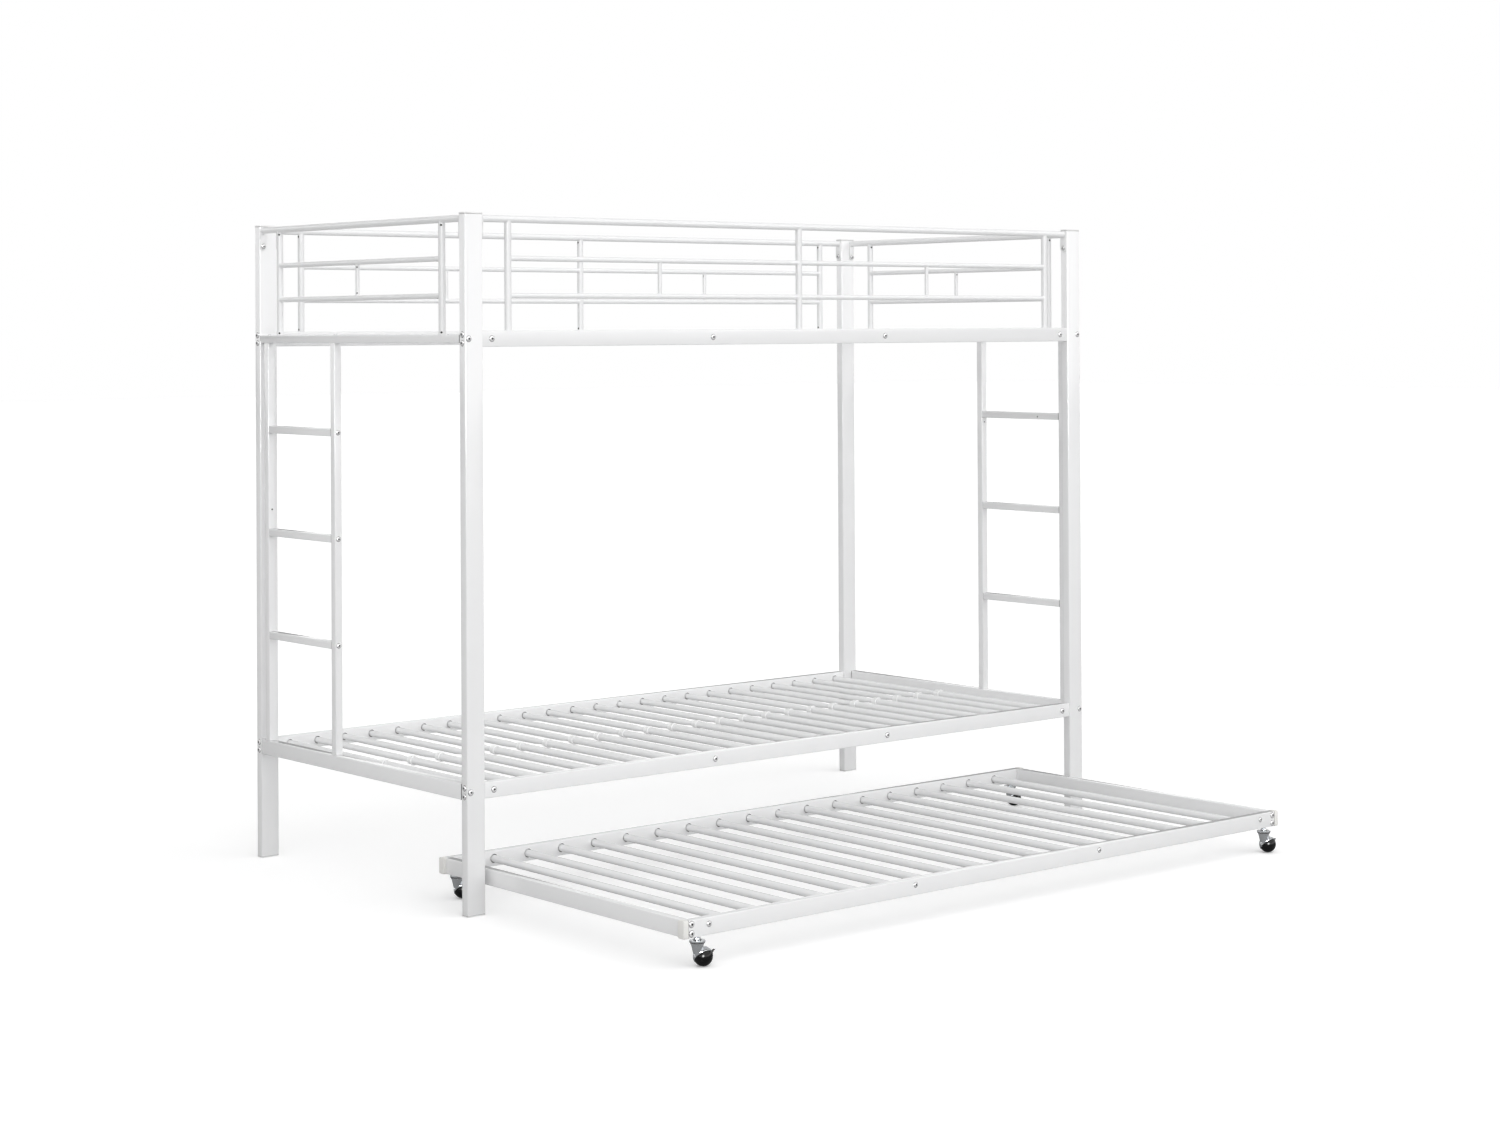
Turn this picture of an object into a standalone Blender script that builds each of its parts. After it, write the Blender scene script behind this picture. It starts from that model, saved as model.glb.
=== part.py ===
# A twin bunk bed of white steel tube with a pull-out trundle on ball casters.
# Metres, +Z up. X runs along the bed, and the trundle pulls out towards -Y.
# The origin lies on the floor, under the middle of the whole with the trundle pulled out.

import math

import bmesh
import bpy
from mathutils import Matrix, Vector

# Fits
SEAT_GAP = 0.0003
RUN_GAP = 0.0004
OVERRUN = 0.004
MERGE = 0.00001
SHARP_ANGLE = math.radians(50)

# Bed
BED_LENGTH = 2.080
BED_WIDTH = 0.970
LOWER_DECK = 0.308
UPPER_DECK = 1.362
TUBE_WALL = 0.0015
TUBE_CORNER = 0.002

# Posts, their caps and their feet
POST_WIDE = 0.050
POST_DEEP = 0.025
POST_PROUD = 0.0095
CAP_THICK = 0.004
CAP_OVERHANG = 0.0008
FOOT_THICK = 0.003
PLUG_DEEP = 0.014

# Side rails and end rails
RAIL_TALL = 0.038
RAIL_DEEP = 0.020
HEAD_RAIL_TALL = 0.020

# Bolt heads
HEAD_RADIUS = 0.007
HEAD_CROWN = 0.0045
HEAD_TALL = 0.0025
PAIR_PITCH = 0.020
HEAD_SIDES = 6
POST_BOLT_INSET = 0.010
PANEL_BOLT_END = 0.077
PANEL_BOLT_MIDDLE = 0.2935

# Deck slats: a front half with a ferrule, and a back half whose neck plugs into it
SLAT_COUNT = 24
SLAT_MARGIN = 0.085
FRONT_SLAT_RADIUS = 0.009
BACK_SLAT_RADIUS = 0.008
FERRULE_RADIUS = 0.011
FERRULE_LONG = 0.040
SOCKET_DEEP = 0.030
NECK_RADIUS = 0.0062
NECK_LONG = 0.045
NECK_TAPER = 0.020
SLAT_SIDES = 6

# Guards of the upper berth
ROUND_SIDES = 8
GUARD_TALL = 0.2625
GUARD_UPPER_SHARE = 0.6476
GUARD_LOWER_SHARE = 0.3124
GUARD_RAIL_RADIUS = 0.0085
GUARD_UPRIGHT_RADIUS = 0.0082
GUARD_BAR_RADIUS = 0.0065
GUARD_SPINDLE_RADIUS = 0.005
SIDE_UPRIGHT_INSET = 0.130
END_UPRIGHT_INSET = 0.111
TAB_THICK = 0.003
TAB_TALL = 0.054
SIDE_TAB_WIDE = 0.022
END_TAB_WIDE = 0.018
TAB_BOLT_RADIUS = 0.0055
TAB_ARC_STEPS = 4

# Ladders, one at each end
STILE_ACROSS = 0.020
STILE_NEAR = 0.056
STILE_FAR = 0.381
RUNG_ACROSS = 0.019
RUNG_SHARES = (0.2581, 0.5095, 0.7609)
RUNG_NAMES = ("low", "middle", "high")

# Trundle
TRUNDLE_PULLED = 0.735
TRUNDLE_DEPTH = 0.935
TRUNDLE_SIDE_GAP = 0.003
TRUNDLE_RISE = 0.067
TRUNDLE_CAP_THICK = 0.0045
TRUNDLE_CAP_OVERHANG = 0.0006
TRUNDLE_CAP_ROUND = 0.004
TRUNDLE_END_INSET = 0.012
TRUNDLE_SLAT_COUNT = 19
TRUNDLE_SLAT_FIRST = 0.018
TRUNDLE_SLAT_LAST = 0.0916
TRUNDLE_SLAT_RADIUS = 0.009
TRUNDLE_SLAT_ENTRY = 0.003
TRUNDLE_TIP_RADIUS = 0.0084
TRUNDLE_TIP_LEAD = 0.002
TRUNDLE_BOLT_END = 0.070
TRUNDLE_BOLT_MIDDLE = 0.308
TRUNDLE_BOLT_LIFT = 0.0045

# Ball casters: the wheel is half a ball on an axle tilted between two halves of the ball
CASTER_INSET = 0.045
CASTER_TRAIL = 0.016
CASTER_SIDES = 12
BALL_RADIUS = 0.021
BALL_STEPS = 4
WHEEL_TILT = math.radians(45)
WHEEL_FACE_GAP = 0.0008
HOOD_RADIUS = 0.022
HOOD_WALL = 0.0015
AXLE_RADIUS = 0.0025
AXLE_LONG = 0.013
FLANGE_RADIUS = 0.0155
FLANGE_THICK = 0.003
FLANGE_UNDER = 0.0515
RACE_RADIUS = 0.0145
NECK_TOP_RADIUS = 0.0135
NECK_FOOT_RADIUS = 0.0085
NECK_FOOT_HEIGHT = 0.019
NECK_FOOT_SHIFT = 0.003
KINGPIN_RADIUS = 0.003
KINGPIN_LONG = 0.013
STEM_RADIUS = 0.004
STEM_LONG = 0.030
NUT_RADIUS = 0.0075
NUT_TALL = 0.007
NUT_SIDES = 6

# Brake lever of a front caster
PIVOT_ANGLE = math.radians(18)
PIVOT_RADIUS = 0.001
BARREL_RADIUS = 0.0022
LEVER_WIDE = 0.005
LEVER_THICK = 0.0016
LEVER_ARM = 0.0075
LEVER_ARM_RISE = math.radians(20)
LEVER_SHANK = 0.0110
LEVER_SHANK_SPLAY = math.radians(9)
LEVER_TOE = 0.0022
EAR_THICK = 0.0014
EAR_WIDE = 0.005
EAR_ARC_STEPS = 4

# Places that follow from the sizes above
rail_centre = BED_WIDTH / 2 - POST_DEEP / 2
rail_inner = rail_centre - RAIL_DEEP / 2
end_centre = BED_LENGTH / 2 - RAIL_DEEP / 2
post_inner = BED_LENGTH / 2 - POST_WIDE
guard_top = UPPER_DECK + GUARD_TALL
guard_bars = [UPPER_DECK + GUARD_TALL * share for share in (GUARD_LOWER_SHARE, GUARD_UPPER_SHARE)]
post_top = guard_top + POST_PROUD
trundle_half = post_inner - TRUNDLE_SIDE_GAP
trundle_rail_half = trundle_half - TRUNDLE_CAP_THICK - SEAT_GAP
trundle_rail_centre = TRUNDLE_DEPTH / 2 - RAIL_DEEP / 2
trundle_middle = TRUNDLE_RISE + RAIL_TALL / 2
trundle_reach = BED_WIDTH / 2 + TRUNDLE_PULLED - RAIL_DEEP / 2 + BALL_RADIUS
bed_reach = BED_WIDTH / 2 + HEAD_TALL
bed_shift = (trundle_reach - bed_reach) / 2
trundle_shift = bed_shift - BED_WIDTH / 2 - TRUNDLE_PULLED + TRUNDLE_DEPTH / 2
race_top = FLANGE_UNDER - SEAT_GAP

SIDES = {"left": -1, "right": 1}
ENDS = {"front": -1, "back": 1}
CORNERS = [(f"{end}_{side}", SIDES[side], ENDS[end]) for end in ENDS for side in SIDES]


def clear_scene():
    for obj in list(bpy.data.objects):
        bpy.data.objects.remove(obj, do_unlink=True)


def new_collection(name):
    made = bpy.data.collections.new(name)
    bpy.context.scene.collection.children.link(made)
    return made


def finish(name, color, roughness, metallic):
    made = bpy.data.materials.new(name)
    made.use_nodes = True
    shader = made.node_tree.nodes["Principled BSDF"]
    shader.inputs["Base Color"].default_value = (*color, 1)
    shader.inputs["Roughness"].default_value = roughness
    shader.inputs["Metallic"].default_value = metallic
    return made


clear_scene()
parts = new_collection("bunk_bed_with_trundle")
cutters = new_collection("cutters")


def pivot(name, place, parent=None, tilt=0):
    """An empty on a joint's axis, or at the middle of a group of pieces."""
    made = bpy.data.objects.new(name, None)
    made.location = place
    made.rotation_euler.x = tilt
    made.parent = parent
    parts.objects.link(made)
    return made


def solid(name, mesh, parent, look):
    """A piece of the bed, from a bmesh in its parent's space."""
    data = bpy.data.meshes.new(name)
    bmesh.ops.recalc_face_normals(mesh, faces=mesh.faces)
    mesh.to_mesh(data)
    mesh.free()
    data.materials.append(finish(name, *look))
    made = bpy.data.objects.new(name, data)
    made.parent = parent
    parts.objects.link(made)
    return made


def tool(target, mesh, operation):
    """Joins a bmesh to a piece, or cuts it away."""
    data = bpy.data.meshes.new(f"{target.name}_{operation.lower()}")
    bmesh.ops.recalc_face_normals(mesh, faces=mesh.faces)
    mesh.to_mesh(data)
    mesh.free()
    made = bpy.data.objects.new(data.name, data)
    made.parent = target.parent
    made.hide_render = True
    made.display_type = "WIRE"
    cutters.objects.link(made)
    change = target.modifiers.new(data.name, "BOOLEAN")
    change.operation = operation
    change.object = made
    change.solver = "EXACT"
    return made


def round_off(target):
    """Smooth shading for turned and tubular pieces, with their edges kept sharp."""
    target.data.shade_smooth()
    target.data.set_sharp_from_angle(angle=SHARP_ANGLE)


def box(mesh, centre, size):
    scale = Matrix.Diagonal((*size, 1))
    bmesh.ops.create_cube(mesh, size=1, matrix=Matrix.Translation(centre) @ scale)


def facing(start, direction, spin):
    """A frame at a point whose +Z looks along a direction, spun about it so that a flat lies on top."""
    turn = Vector(direction).to_track_quat("Z", "Y").to_matrix().to_4x4()
    return Matrix.Translation(start) @ turn @ Matrix.Rotation(spin, 4, "Z")


def rod(mesh, start, end, radius, far_radius=None, sides=ROUND_SIDES):
    """A round bar, or a cone, from one point to another."""
    start = Vector(start)
    along = Vector(end) - start
    bmesh.ops.create_cone(
        mesh,
        cap_ends=True,
        segments=sides,
        radius1=radius,
        radius2=radius if far_radius is None else far_radius,
        depth=along.length,
        matrix=facing(start + along / 2, along, math.pi / sides),
    )


def turned(mesh, start, direction, profile, sides):
    """A bar turned from (distance along it, radius) points, both ends on its axis."""
    points = [mesh.verts.new((radius, 0, along)) for along, radius in profile]
    edges = [mesh.edges.new(pair) for pair in zip(points, points[1:])]
    bmesh.ops.spin(
        mesh,
        geom=points + edges,
        cent=(0, 0, 0),
        axis=(0, 0, 1),
        angle=2 * math.pi,
        steps=sides,
        use_merge=True,
    )
    fresh = [vert for vert in mesh.verts if not vert.tag]
    bmesh.ops.remove_doubles(mesh, verts=fresh, dist=MERGE)
    fresh = [vert for vert in mesh.verts if not vert.tag]
    frame = facing(start, direction, math.pi / 2 - math.pi / sides)
    bmesh.ops.transform(mesh, matrix=frame, verts=fresh)
    for vert in fresh:
        vert.tag = True


def tongue(mesh, frame, long, wide, thick, steps):
    """A flat plate with one round end. Its long side runs along +X of the frame, flat in X and Y."""
    ring = []
    for step in range(steps + 1):
        angle = math.pi * (step / steps) - math.pi / 2
        ring.append((long + wide / 2 * math.cos(angle), wide / 2 * math.sin(angle), -thick / 2))
    outline = [(0, wide / 2, -thick / 2), (0, -wide / 2, -thick / 2), *ring]
    face = mesh.faces.new([mesh.verts.new(point) for point in outline])
    grown = bmesh.ops.extrude_face_region(mesh, geom=[face])["geom"]
    lifted = [item for item in grown if isinstance(item, bmesh.types.BMVert)]
    bmesh.ops.translate(mesh, vec=(0, 0, thick), verts=lifted)
    bmesh.ops.transform(mesh, matrix=frame, verts=[*face.verts, *lifted])


def bolt(mesh, seat, direction, radius=HEAD_RADIUS):
    """A low round bolt head, sunk half a wall into the tube that it clamps."""
    seat = Vector(seat)
    outward = Vector(direction)
    crown = radius * HEAD_CROWN / HEAD_RADIUS
    root = seat - outward * (TUBE_WALL / 2)
    rod(mesh, root, seat + outward * HEAD_TALL, radius, crown, sides=HEAD_SIDES)


def square_tube(name, centre, size, axis, parent, look):
    """A hollow rectangular tube along one axis, open at both ends, its long edges eased."""
    outer = bmesh.new()
    box(outer, centre, size)
    long_edges = [
        edge for edge in outer.edges
        if abs((edge.verts[0].co - edge.verts[1].co)[axis]) > size[axis] / 2
    ]
    bmesh.ops.bevel(outer, geom=long_edges, offset=TUBE_CORNER, segments=1, affect="EDGES")
    made = solid(name, outer, parent, look)
    hollow = [side - 2 * TUBE_WALL for side in size]
    hollow[axis] = size[axis] + 2 * OVERRUN
    bore = bmesh.new()
    box(bore, centre, hollow)
    tool(made, bore, "DIFFERENCE")
    return made


def plugged_plate(name, face, outward, section, thick, overhang, corner, parent, look):
    """A plastic plate over a tube's open end, with the plug that holds it in the tube."""
    face = Vector(face)
    outward = Vector(outward)
    axis = [abs(part) for part in outward].index(1)
    plate = [side + 2 * overhang for side in section]
    plate[axis] = thick
    plug = [side - 2 * TUBE_WALL - 2 * SEAT_GAP for side in section]
    plug[axis] = PLUG_DEEP + thick / 2
    mesh = bmesh.new()
    box(mesh, face + outward * (SEAT_GAP + thick / 2), plate)
    edges = [
        edge for edge in mesh.edges
        if abs((edge.verts[0].co - edge.verts[1].co)[axis]) > thick / 2
    ]
    bmesh.ops.bevel(mesh, geom=edges, offset=corner, segments=1, affect="EDGES")
    made = solid(name, mesh, parent, look)
    inner = bmesh.new()
    box(inner, face + outward * (SEAT_GAP + thick / 2 - plug[axis] / 2), plug)
    tool(made, inner, "UNION")
    return made


POWDER_COAT = ((0.86, 0.86, 0.85), 0.42, 0.0)
IVORY = ((0.80, 0.79, 0.74), 0.5, 0.0)
CHROME = ((0.80, 0.81, 0.83), 0.12, 1.0)
BLACK = ((0.012, 0.012, 0.013), 0.25, 0.0)

bed = pivot("bed", (0, bed_shift, 0))
trundle = pivot("trundle", (0, trundle_shift, 0))


def post(corner, side, end):
    """A corner post with the bolt heads of both decks, its cap and its foot."""
    x = side * (BED_LENGTH / 2 - POST_WIDE / 2)
    y = end * rail_centre
    low = FOOT_THICK + SEAT_GAP
    section = (POST_WIDE, POST_DEEP, 0)
    size = (POST_WIDE, POST_DEEP, post_top - low)
    made = square_tube(f"post_{corner}", (x, y, (post_top + low) / 2), size, 2, bed, POWDER_COAT)
    heads = bmesh.new()
    for deck in (LOWER_DECK, UPPER_DECK):
        middle = deck - RAIL_TALL / 2
        for lift in (-PAIR_PITCH / 2, PAIR_PITCH / 2):
            bolt(heads, (side * BED_LENGTH / 2, y, middle + lift), (side, 0, 0))
        face = side * (BED_LENGTH / 2 - POST_BOLT_INSET)
        bolt(heads, (face, end * BED_WIDTH / 2, middle), (0, end, 0))
    tool(made, heads, "UNION")
    plugged_plate(
        f"post_cap_{corner}", (x, y, post_top), (0, 0, 1), section,
        CAP_THICK, CAP_OVERHANG, TUBE_CORNER, bed, IVORY,
    )
    plugged_plate(
        f"foot_plug_{corner}", (x, y, low), (0, 0, -1), section,
        FOOT_THICK, 0, TUBE_CORNER, bed, IVORY,
    )


def slat_places():
    """Where the slats cross the deck, even from one margin to the other."""
    first = BED_LENGTH / 2 - SLAT_MARGIN
    return [first * (2 * n / (SLAT_COUNT - 1) - 1) for n in range(SLAT_COUNT)]


def side_rail(deck_name, deck, end_name, end):
    """A side rail with its half of every slat and the heads of its panel bolts."""
    middle = deck - RAIL_TALL / 2
    long = 2 * (post_inner - SEAT_GAP)
    size = (long, RAIL_DEEP, RAIL_TALL)
    made = square_tube(
        f"{deck_name}_rail_{end_name}", (0, end * rail_centre, middle), size, 0, bed, POWDER_COAT
    )
    start = rail_inner + TUBE_WALL / 2
    mouth = start + FERRULE_LONG / 2
    socket_floor = mouth - SOCKET_DEEP
    neck_tip = start - (FERRULE_LONG / 2 - SOCKET_DEEP + SEAT_GAP)
    neck_start = start - FERRULE_LONG / 2 - NECK_LONG
    front_half = [
        (0, 0),
        (0, FRONT_SLAT_RADIUS),
        (start - FERRULE_LONG / 2, FRONT_SLAT_RADIUS),
        (start - FERRULE_LONG / 2, FERRULE_RADIUS),
        (mouth, FERRULE_RADIUS),
        (mouth, NECK_RADIUS + SEAT_GAP),
        (socket_floor, NECK_RADIUS + SEAT_GAP),
        (socket_floor, 0),
    ]
    back_half = [
        (0, 0),
        (0, BACK_SLAT_RADIUS),
        (neck_start - NECK_TAPER, BACK_SLAT_RADIUS),
        (neck_start, NECK_RADIUS),
        (neck_tip, NECK_RADIUS),
        (neck_tip, 0),
    ]
    slats = bmesh.new()
    half = front_half if end < 0 else back_half
    for x in slat_places():
        turned(slats, (x, end * start, middle), (0, -end, 0), half, SLAT_SIDES)
    tool(made, slats, "UNION")
    heads = bmesh.new()
    for x in (BED_LENGTH / 2 - PANEL_BOLT_END, PANEL_BOLT_MIDDLE):
        for side in SIDES.values():
            bolt(heads, (side * x, end * (rail_centre + RAIL_DEEP / 2), middle), (0, end, 0))
    tool(made, heads, "UNION")


def end_rail(deck_name, deck, tall, side_name, side):
    long = BED_WIDTH - 2 * POST_DEEP - 2 * SEAT_GAP
    centre = (side * end_centre, 0, deck - RAIL_TALL / 2)
    size = (RAIL_DEEP, long, tall)
    square_tube(f"{deck_name}_end_rail_{side_name}", centre, size, 1, bed, POWDER_COAT)


def guard(name, half, rail_place, along, uprights, spindles, foot, tab_wide):
    """A welded guard: top rail, two bars, uprights, spindles, and a bolted tab at each end.

    along is the unit vector of its length, rail_place where its middle stands on the floor."""
    along = Vector(along)
    base = Vector(rail_place)
    up = Vector((0, 0, 1))

    def at(distance, height):
        return base + along * distance + up * height

    rails = bmesh.new()
    tab_middle = half - SEAT_GAP - TAB_THICK / 2
    rod(rails, at(-tab_middle, guard_top), at(tab_middle, guard_top), GUARD_RAIL_RADIUS)
    for height in guard_bars:
        rod(rails, at(uprights[0], height), at(uprights[-1], height), GUARD_BAR_RADIUS)
    made = solid(name, rails, bed, POWDER_COAT)
    posts = bmesh.new()
    for distance in uprights:
        rod(posts, at(distance, foot + SEAT_GAP), at(distance, guard_top), GUARD_UPRIGHT_RADIUS)
    for distance in spindles:
        low, high = [at(distance, height) for height in guard_bars]
        rod(posts, low, high, GUARD_SPINDLE_RADIUS)
    tool(made, posts, "UNION")
    tabs = bmesh.new()
    heads = bmesh.new()
    for side in (-1, 1):
        across = up.cross(along) * side
        frame = Matrix((
            (0, across.x, along.x * side, 0),
            (0, across.y, along.y * side, 0),
            (-1, 0, 0, 0),
            (0, 0, 0, 1),
        ))
        crest = at(side * tab_middle, guard_top + GUARD_RAIL_RADIUS / 2)
        drop = TAB_TALL - tab_wide / 2
        tongue(tabs, Matrix.Translation(crest) @ frame, drop, tab_wide, TAB_THICK, TAB_ARC_STEPS)
        inner = at(side * (tab_middle - TAB_THICK / 2), guard_top + GUARD_RAIL_RADIUS / 2 - drop)
        bolt(heads, inner, along * -side, TAB_BOLT_RADIUS)
    tool(made, tabs, "UNION")
    tool(made, heads, "UNION")
    round_off(made)


def side_guard(end_name, end):
    upright = BED_LENGTH / 2 - SIDE_UPRIGHT_INSET
    guard(
        f"guard_{end_name}", post_inner, (0, end * rail_centre, 0), (1, 0, 0),
        (-upright, 0, upright), (-upright / 2, upright / 2), UPPER_DECK, SIDE_TAB_WIDE,
    )


def end_guard(side_name, side):
    upright = BED_WIDTH / 2 - END_UPRIGHT_INSET
    foot = UPPER_DECK - RAIL_TALL / 2 + HEAD_RAIL_TALL / 2
    half = BED_WIDTH / 2 - POST_DEEP
    guard(
        f"guard_{side_name}", half, (side * end_centre, 0, 0), (0, 1, 0),
        (-upright, upright), (0,), foot, END_TAB_WIDE,
    )


def ladder(side_name, side):
    """Two stiles between the end rails of one end, and the rungs between them."""
    low = LOWER_DECK + SEAT_GAP
    high = UPPER_DECK - RAIL_TALL / 2 - HEAD_RAIL_TALL / 2 - SEAT_GAP
    x = side * end_centre
    near = BED_WIDTH / 2 - STILE_NEAR
    far = BED_WIDTH / 2 - STILE_FAR
    size = (STILE_ACROSS, STILE_ACROSS, high - low)
    for stile_name, y in (("outer", near), ("inner", far)):
        centre = (x, -side * y, (high + low) / 2)
        square_tube(f"ladder_{side_name}_{stile_name}_stile", centre, size, 2, bed, POWDER_COAT)
    long = near - far - STILE_ACROSS - 2 * SEAT_GAP
    for rung_name, share in zip(RUNG_NAMES, RUNG_SHARES):
        height = LOWER_DECK + share * (UPPER_DECK - LOWER_DECK)
        centre = (x, -side * (near + far) / 2, height)
        rung = (RUNG_ACROSS, long, RUNG_ACROSS)
        square_tube(f"ladder_{side_name}_rung_{rung_name}", centre, rung, 1, bed, POWDER_COAT)


def trundle_slat_places():
    """The trundle's slats are even, from close beside its left end rail to well short of the right one."""
    end_face = trundle_rail_half - TRUNDLE_END_INSET - RAIL_DEEP / 2
    first = TRUNDLE_SLAT_FIRST - end_face
    pitch = (end_face - TRUNDLE_SLAT_LAST - first) / (TRUNDLE_SLAT_COUNT - 1)
    return [first + pitch * n for n in range(TRUNDLE_SLAT_COUNT)]


def trundle_rail(end_name, end):
    """A long rail of the trundle. The back one carries the slats, whose tips enter the front one."""
    size = (2 * trundle_rail_half, RAIL_DEEP, RAIL_TALL)
    y = end * trundle_rail_centre
    inner = trundle_rail_centre - RAIL_DEEP / 2
    made = square_tube(
        f"trundle_rail_{end_name}", (0, y, trundle_middle), size, 0, trundle, POWDER_COAT
    )
    root = inner + TUBE_WALL / 2
    shoulder = TRUNDLE_TIP_LEAD - inner
    tip = -(inner + TUBE_WALL + TRUNDLE_SLAT_ENTRY)
    slat = [
        (0, 0),
        (0, TRUNDLE_SLAT_RADIUS),
        (root - shoulder, TRUNDLE_SLAT_RADIUS),
        (root - shoulder, TRUNDLE_TIP_RADIUS),
        (root - tip, TRUNDLE_TIP_RADIUS),
        (root - tip, 0),
    ]
    slats = bmesh.new()
    for x in trundle_slat_places():
        if end > 0:
            turned(slats, (x, root, trundle_middle), (0, -1, 0), slat, SLAT_SIDES)
        else:
            mouth = (x, OVERRUN - inner, trundle_middle)
            hole = TRUNDLE_TIP_RADIUS + RUN_GAP
            rod(slats, mouth, (x, tip, trundle_middle), hole, sides=SLAT_SIDES)
    tool(made, slats, "UNION" if end > 0 else "DIFFERENCE")
    holes = bmesh.new()
    for side in SIDES.values():
        x = side * (trundle_half - CASTER_INSET)
        below = (x, y, TRUNDLE_RISE - OVERRUN)
        above = (x, y, TRUNDLE_RISE + OVERRUN)
        rod(holes, below, above, STEM_RADIUS + RUN_GAP, sides=CASTER_SIDES)
    tool(made, holes, "DIFFERENCE")
    heads = bmesh.new()
    face = end * TRUNDLE_DEPTH / 2
    for side in SIDES.values():
        pair = side * (trundle_rail_half - TRUNDLE_END_INSET)
        for lift in (-PAIR_PITCH / 2, PAIR_PITCH / 2):
            bolt(heads, (pair, face, trundle_middle + lift), (0, end, 0))
        for x in (trundle_half - TRUNDLE_BOLT_END, TRUNDLE_BOLT_MIDDLE):
            seat = (side * x, face, trundle_middle + TRUNDLE_BOLT_LIFT)
            bolt(heads, seat, (0, end, 0), TAB_BOLT_RADIUS)
    tool(made, heads, "UNION")


def trundle_end(side_name, side):
    """The rail across one end of the trundle, and the caps of the long rails there."""
    long = TRUNDLE_DEPTH - 2 * RAIL_DEEP - 2 * SEAT_GAP
    centre = (side * (trundle_rail_half - TRUNDLE_END_INSET), 0, trundle_middle)
    size = (RAIL_DEEP, long, RAIL_TALL)
    square_tube(f"trundle_end_rail_{side_name}", centre, size, 1, trundle, POWDER_COAT)
    for end_name, end in ENDS.items():
        face = (side * trundle_rail_half, end * trundle_rail_centre, trundle_middle)
        plugged_plate(
            f"trundle_cap_{end_name}_{side_name}", face, (side, 0, 0), (0, RAIL_DEEP, RAIL_TALL),
            TRUNDLE_CAP_THICK, TRUNDLE_CAP_OVERHANG, TRUNDLE_CAP_ROUND, trundle, IVORY,
        )


def screwed(name, profile, parent, look):
    """A turned piece: a profile of (radius, height) points swept about its parent's Z axis."""
    mesh = bmesh.new()
    points = [mesh.verts.new((radius, 0, height)) for radius, height in profile]
    for pair in zip(points, points[1:]):
        mesh.edges.new(pair)
    data = bpy.data.meshes.new(name)
    mesh.to_mesh(data)
    mesh.free()
    data.materials.append(finish(name, *look))
    made = bpy.data.objects.new(name, data)
    made.parent = parent
    sweep = made.modifiers.new("sweep", "SCREW")
    sweep.steps = CASTER_SIDES
    sweep.render_steps = CASTER_SIDES
    sweep.use_merge_vertices = True
    sweep.merge_threshold = MERGE
    sweep.use_smooth_shade = True
    return made


def arc(radius, first, last, steps):
    """(radius, height) points on a circle about the origin, angles counted from the equator."""
    angles = [first + (last - first) * n / steps for n in range(steps + 1)]
    return [(radius * math.cos(angle), radius * math.sin(angle)) for angle in angles]


def caster_stem(corner, swivel):
    """The fixed part of a caster: threaded stem, nut, flange and kingpin."""
    mesh = bmesh.new()
    top = FLANGE_UNDER + FLANGE_THICK
    up = (0, 0, 1)
    turned(mesh, (0, 0, 0), up, [
        (FLANGE_UNDER - KINGPIN_LONG, 0),
        (FLANGE_UNDER - KINGPIN_LONG, KINGPIN_RADIUS),
        (FLANGE_UNDER, KINGPIN_RADIUS),
        (FLANGE_UNDER, FLANGE_RADIUS),
        (top, FLANGE_RADIUS),
        (top, STEM_RADIUS),
        (top + STEM_LONG, STEM_RADIUS),
        (top + STEM_LONG, 0),
    ], CASTER_SIDES)
    made = solid(f"caster_stem_{corner}", mesh, swivel, CHROME)
    nut = bmesh.new()
    rod(nut, (0, 0, top - FLANGE_THICK / 2), (0, 0, top + NUT_TALL), NUT_RADIUS, sides=NUT_SIDES)
    tool(made, nut, "UNION")
    round_off(made)


def caster_hood(corner, swivel, ball, braked):
    """The half ball over the wheel, its axle, and the neck up to the race under the flange."""
    slope = math.asin(AXLE_RADIUS / (HOOD_RADIUS - HOOD_WALL))
    profile = [
        *reversed(arc(HOOD_RADIUS, 0, math.pi / 2, BALL_STEPS)),
        *arc(HOOD_RADIUS - HOOD_WALL, 0, math.pi / 2 - slope, BALL_STEPS),
        (AXLE_RADIUS, -AXLE_LONG),
        (0, -AXLE_LONG),
    ]
    made = screwed(f"caster_hood_{corner}", profile, ball, CHROME)
    parts.objects.link(made)
    neck = bmesh.new()
    top = race_top - FLANGE_THICK / 2
    rod(
        neck, (0, 0, top), (NECK_FOOT_SHIFT, 0, NECK_FOOT_HEIGHT),
        NECK_TOP_RADIUS, NECK_FOOT_RADIUS, sides=CASTER_SIDES,
    )
    joined = tool(made, neck, "UNION")
    joined.parent = swivel
    room = [
        (0, 0),
        *arc(BALL_RADIUS + WHEEL_FACE_GAP, 0, -math.pi / 2, BALL_STEPS),
    ]
    clearance = screwed(f"wheel_room_{corner}", room, ball, CHROME)
    clearance.hide_render = True
    clearance.display_type = "WIRE"
    cutters.objects.link(clearance)
    cut = joined.modifiers.new("wheel_room", "BOOLEAN")
    cut.operation = "DIFFERENCE"
    cut.object = clearance
    cut.solver = "EXACT"
    race = bmesh.new()
    rod(
        race, (0, 0, race_top - FLANGE_THICK), (0, 0, race_top),
        RACE_RADIUS, sides=CASTER_SIDES,
    )
    tool(made, race, "UNION").parent = swivel
    if braked:
        tool(made, brake_ears(), "UNION").parent = swivel
        tool(made, brake_pin(), "UNION").parent = swivel
    bore = bmesh.new()
    floor = FLANGE_UNDER - KINGPIN_LONG - RUN_GAP
    rod(
        bore, (0, 0, floor), (0, 0, race_top + OVERRUN),
        KINGPIN_RADIUS + RUN_GAP, sides=CASTER_SIDES,
    )
    tool(made, bore, "DIFFERENCE").parent = swivel


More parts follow.
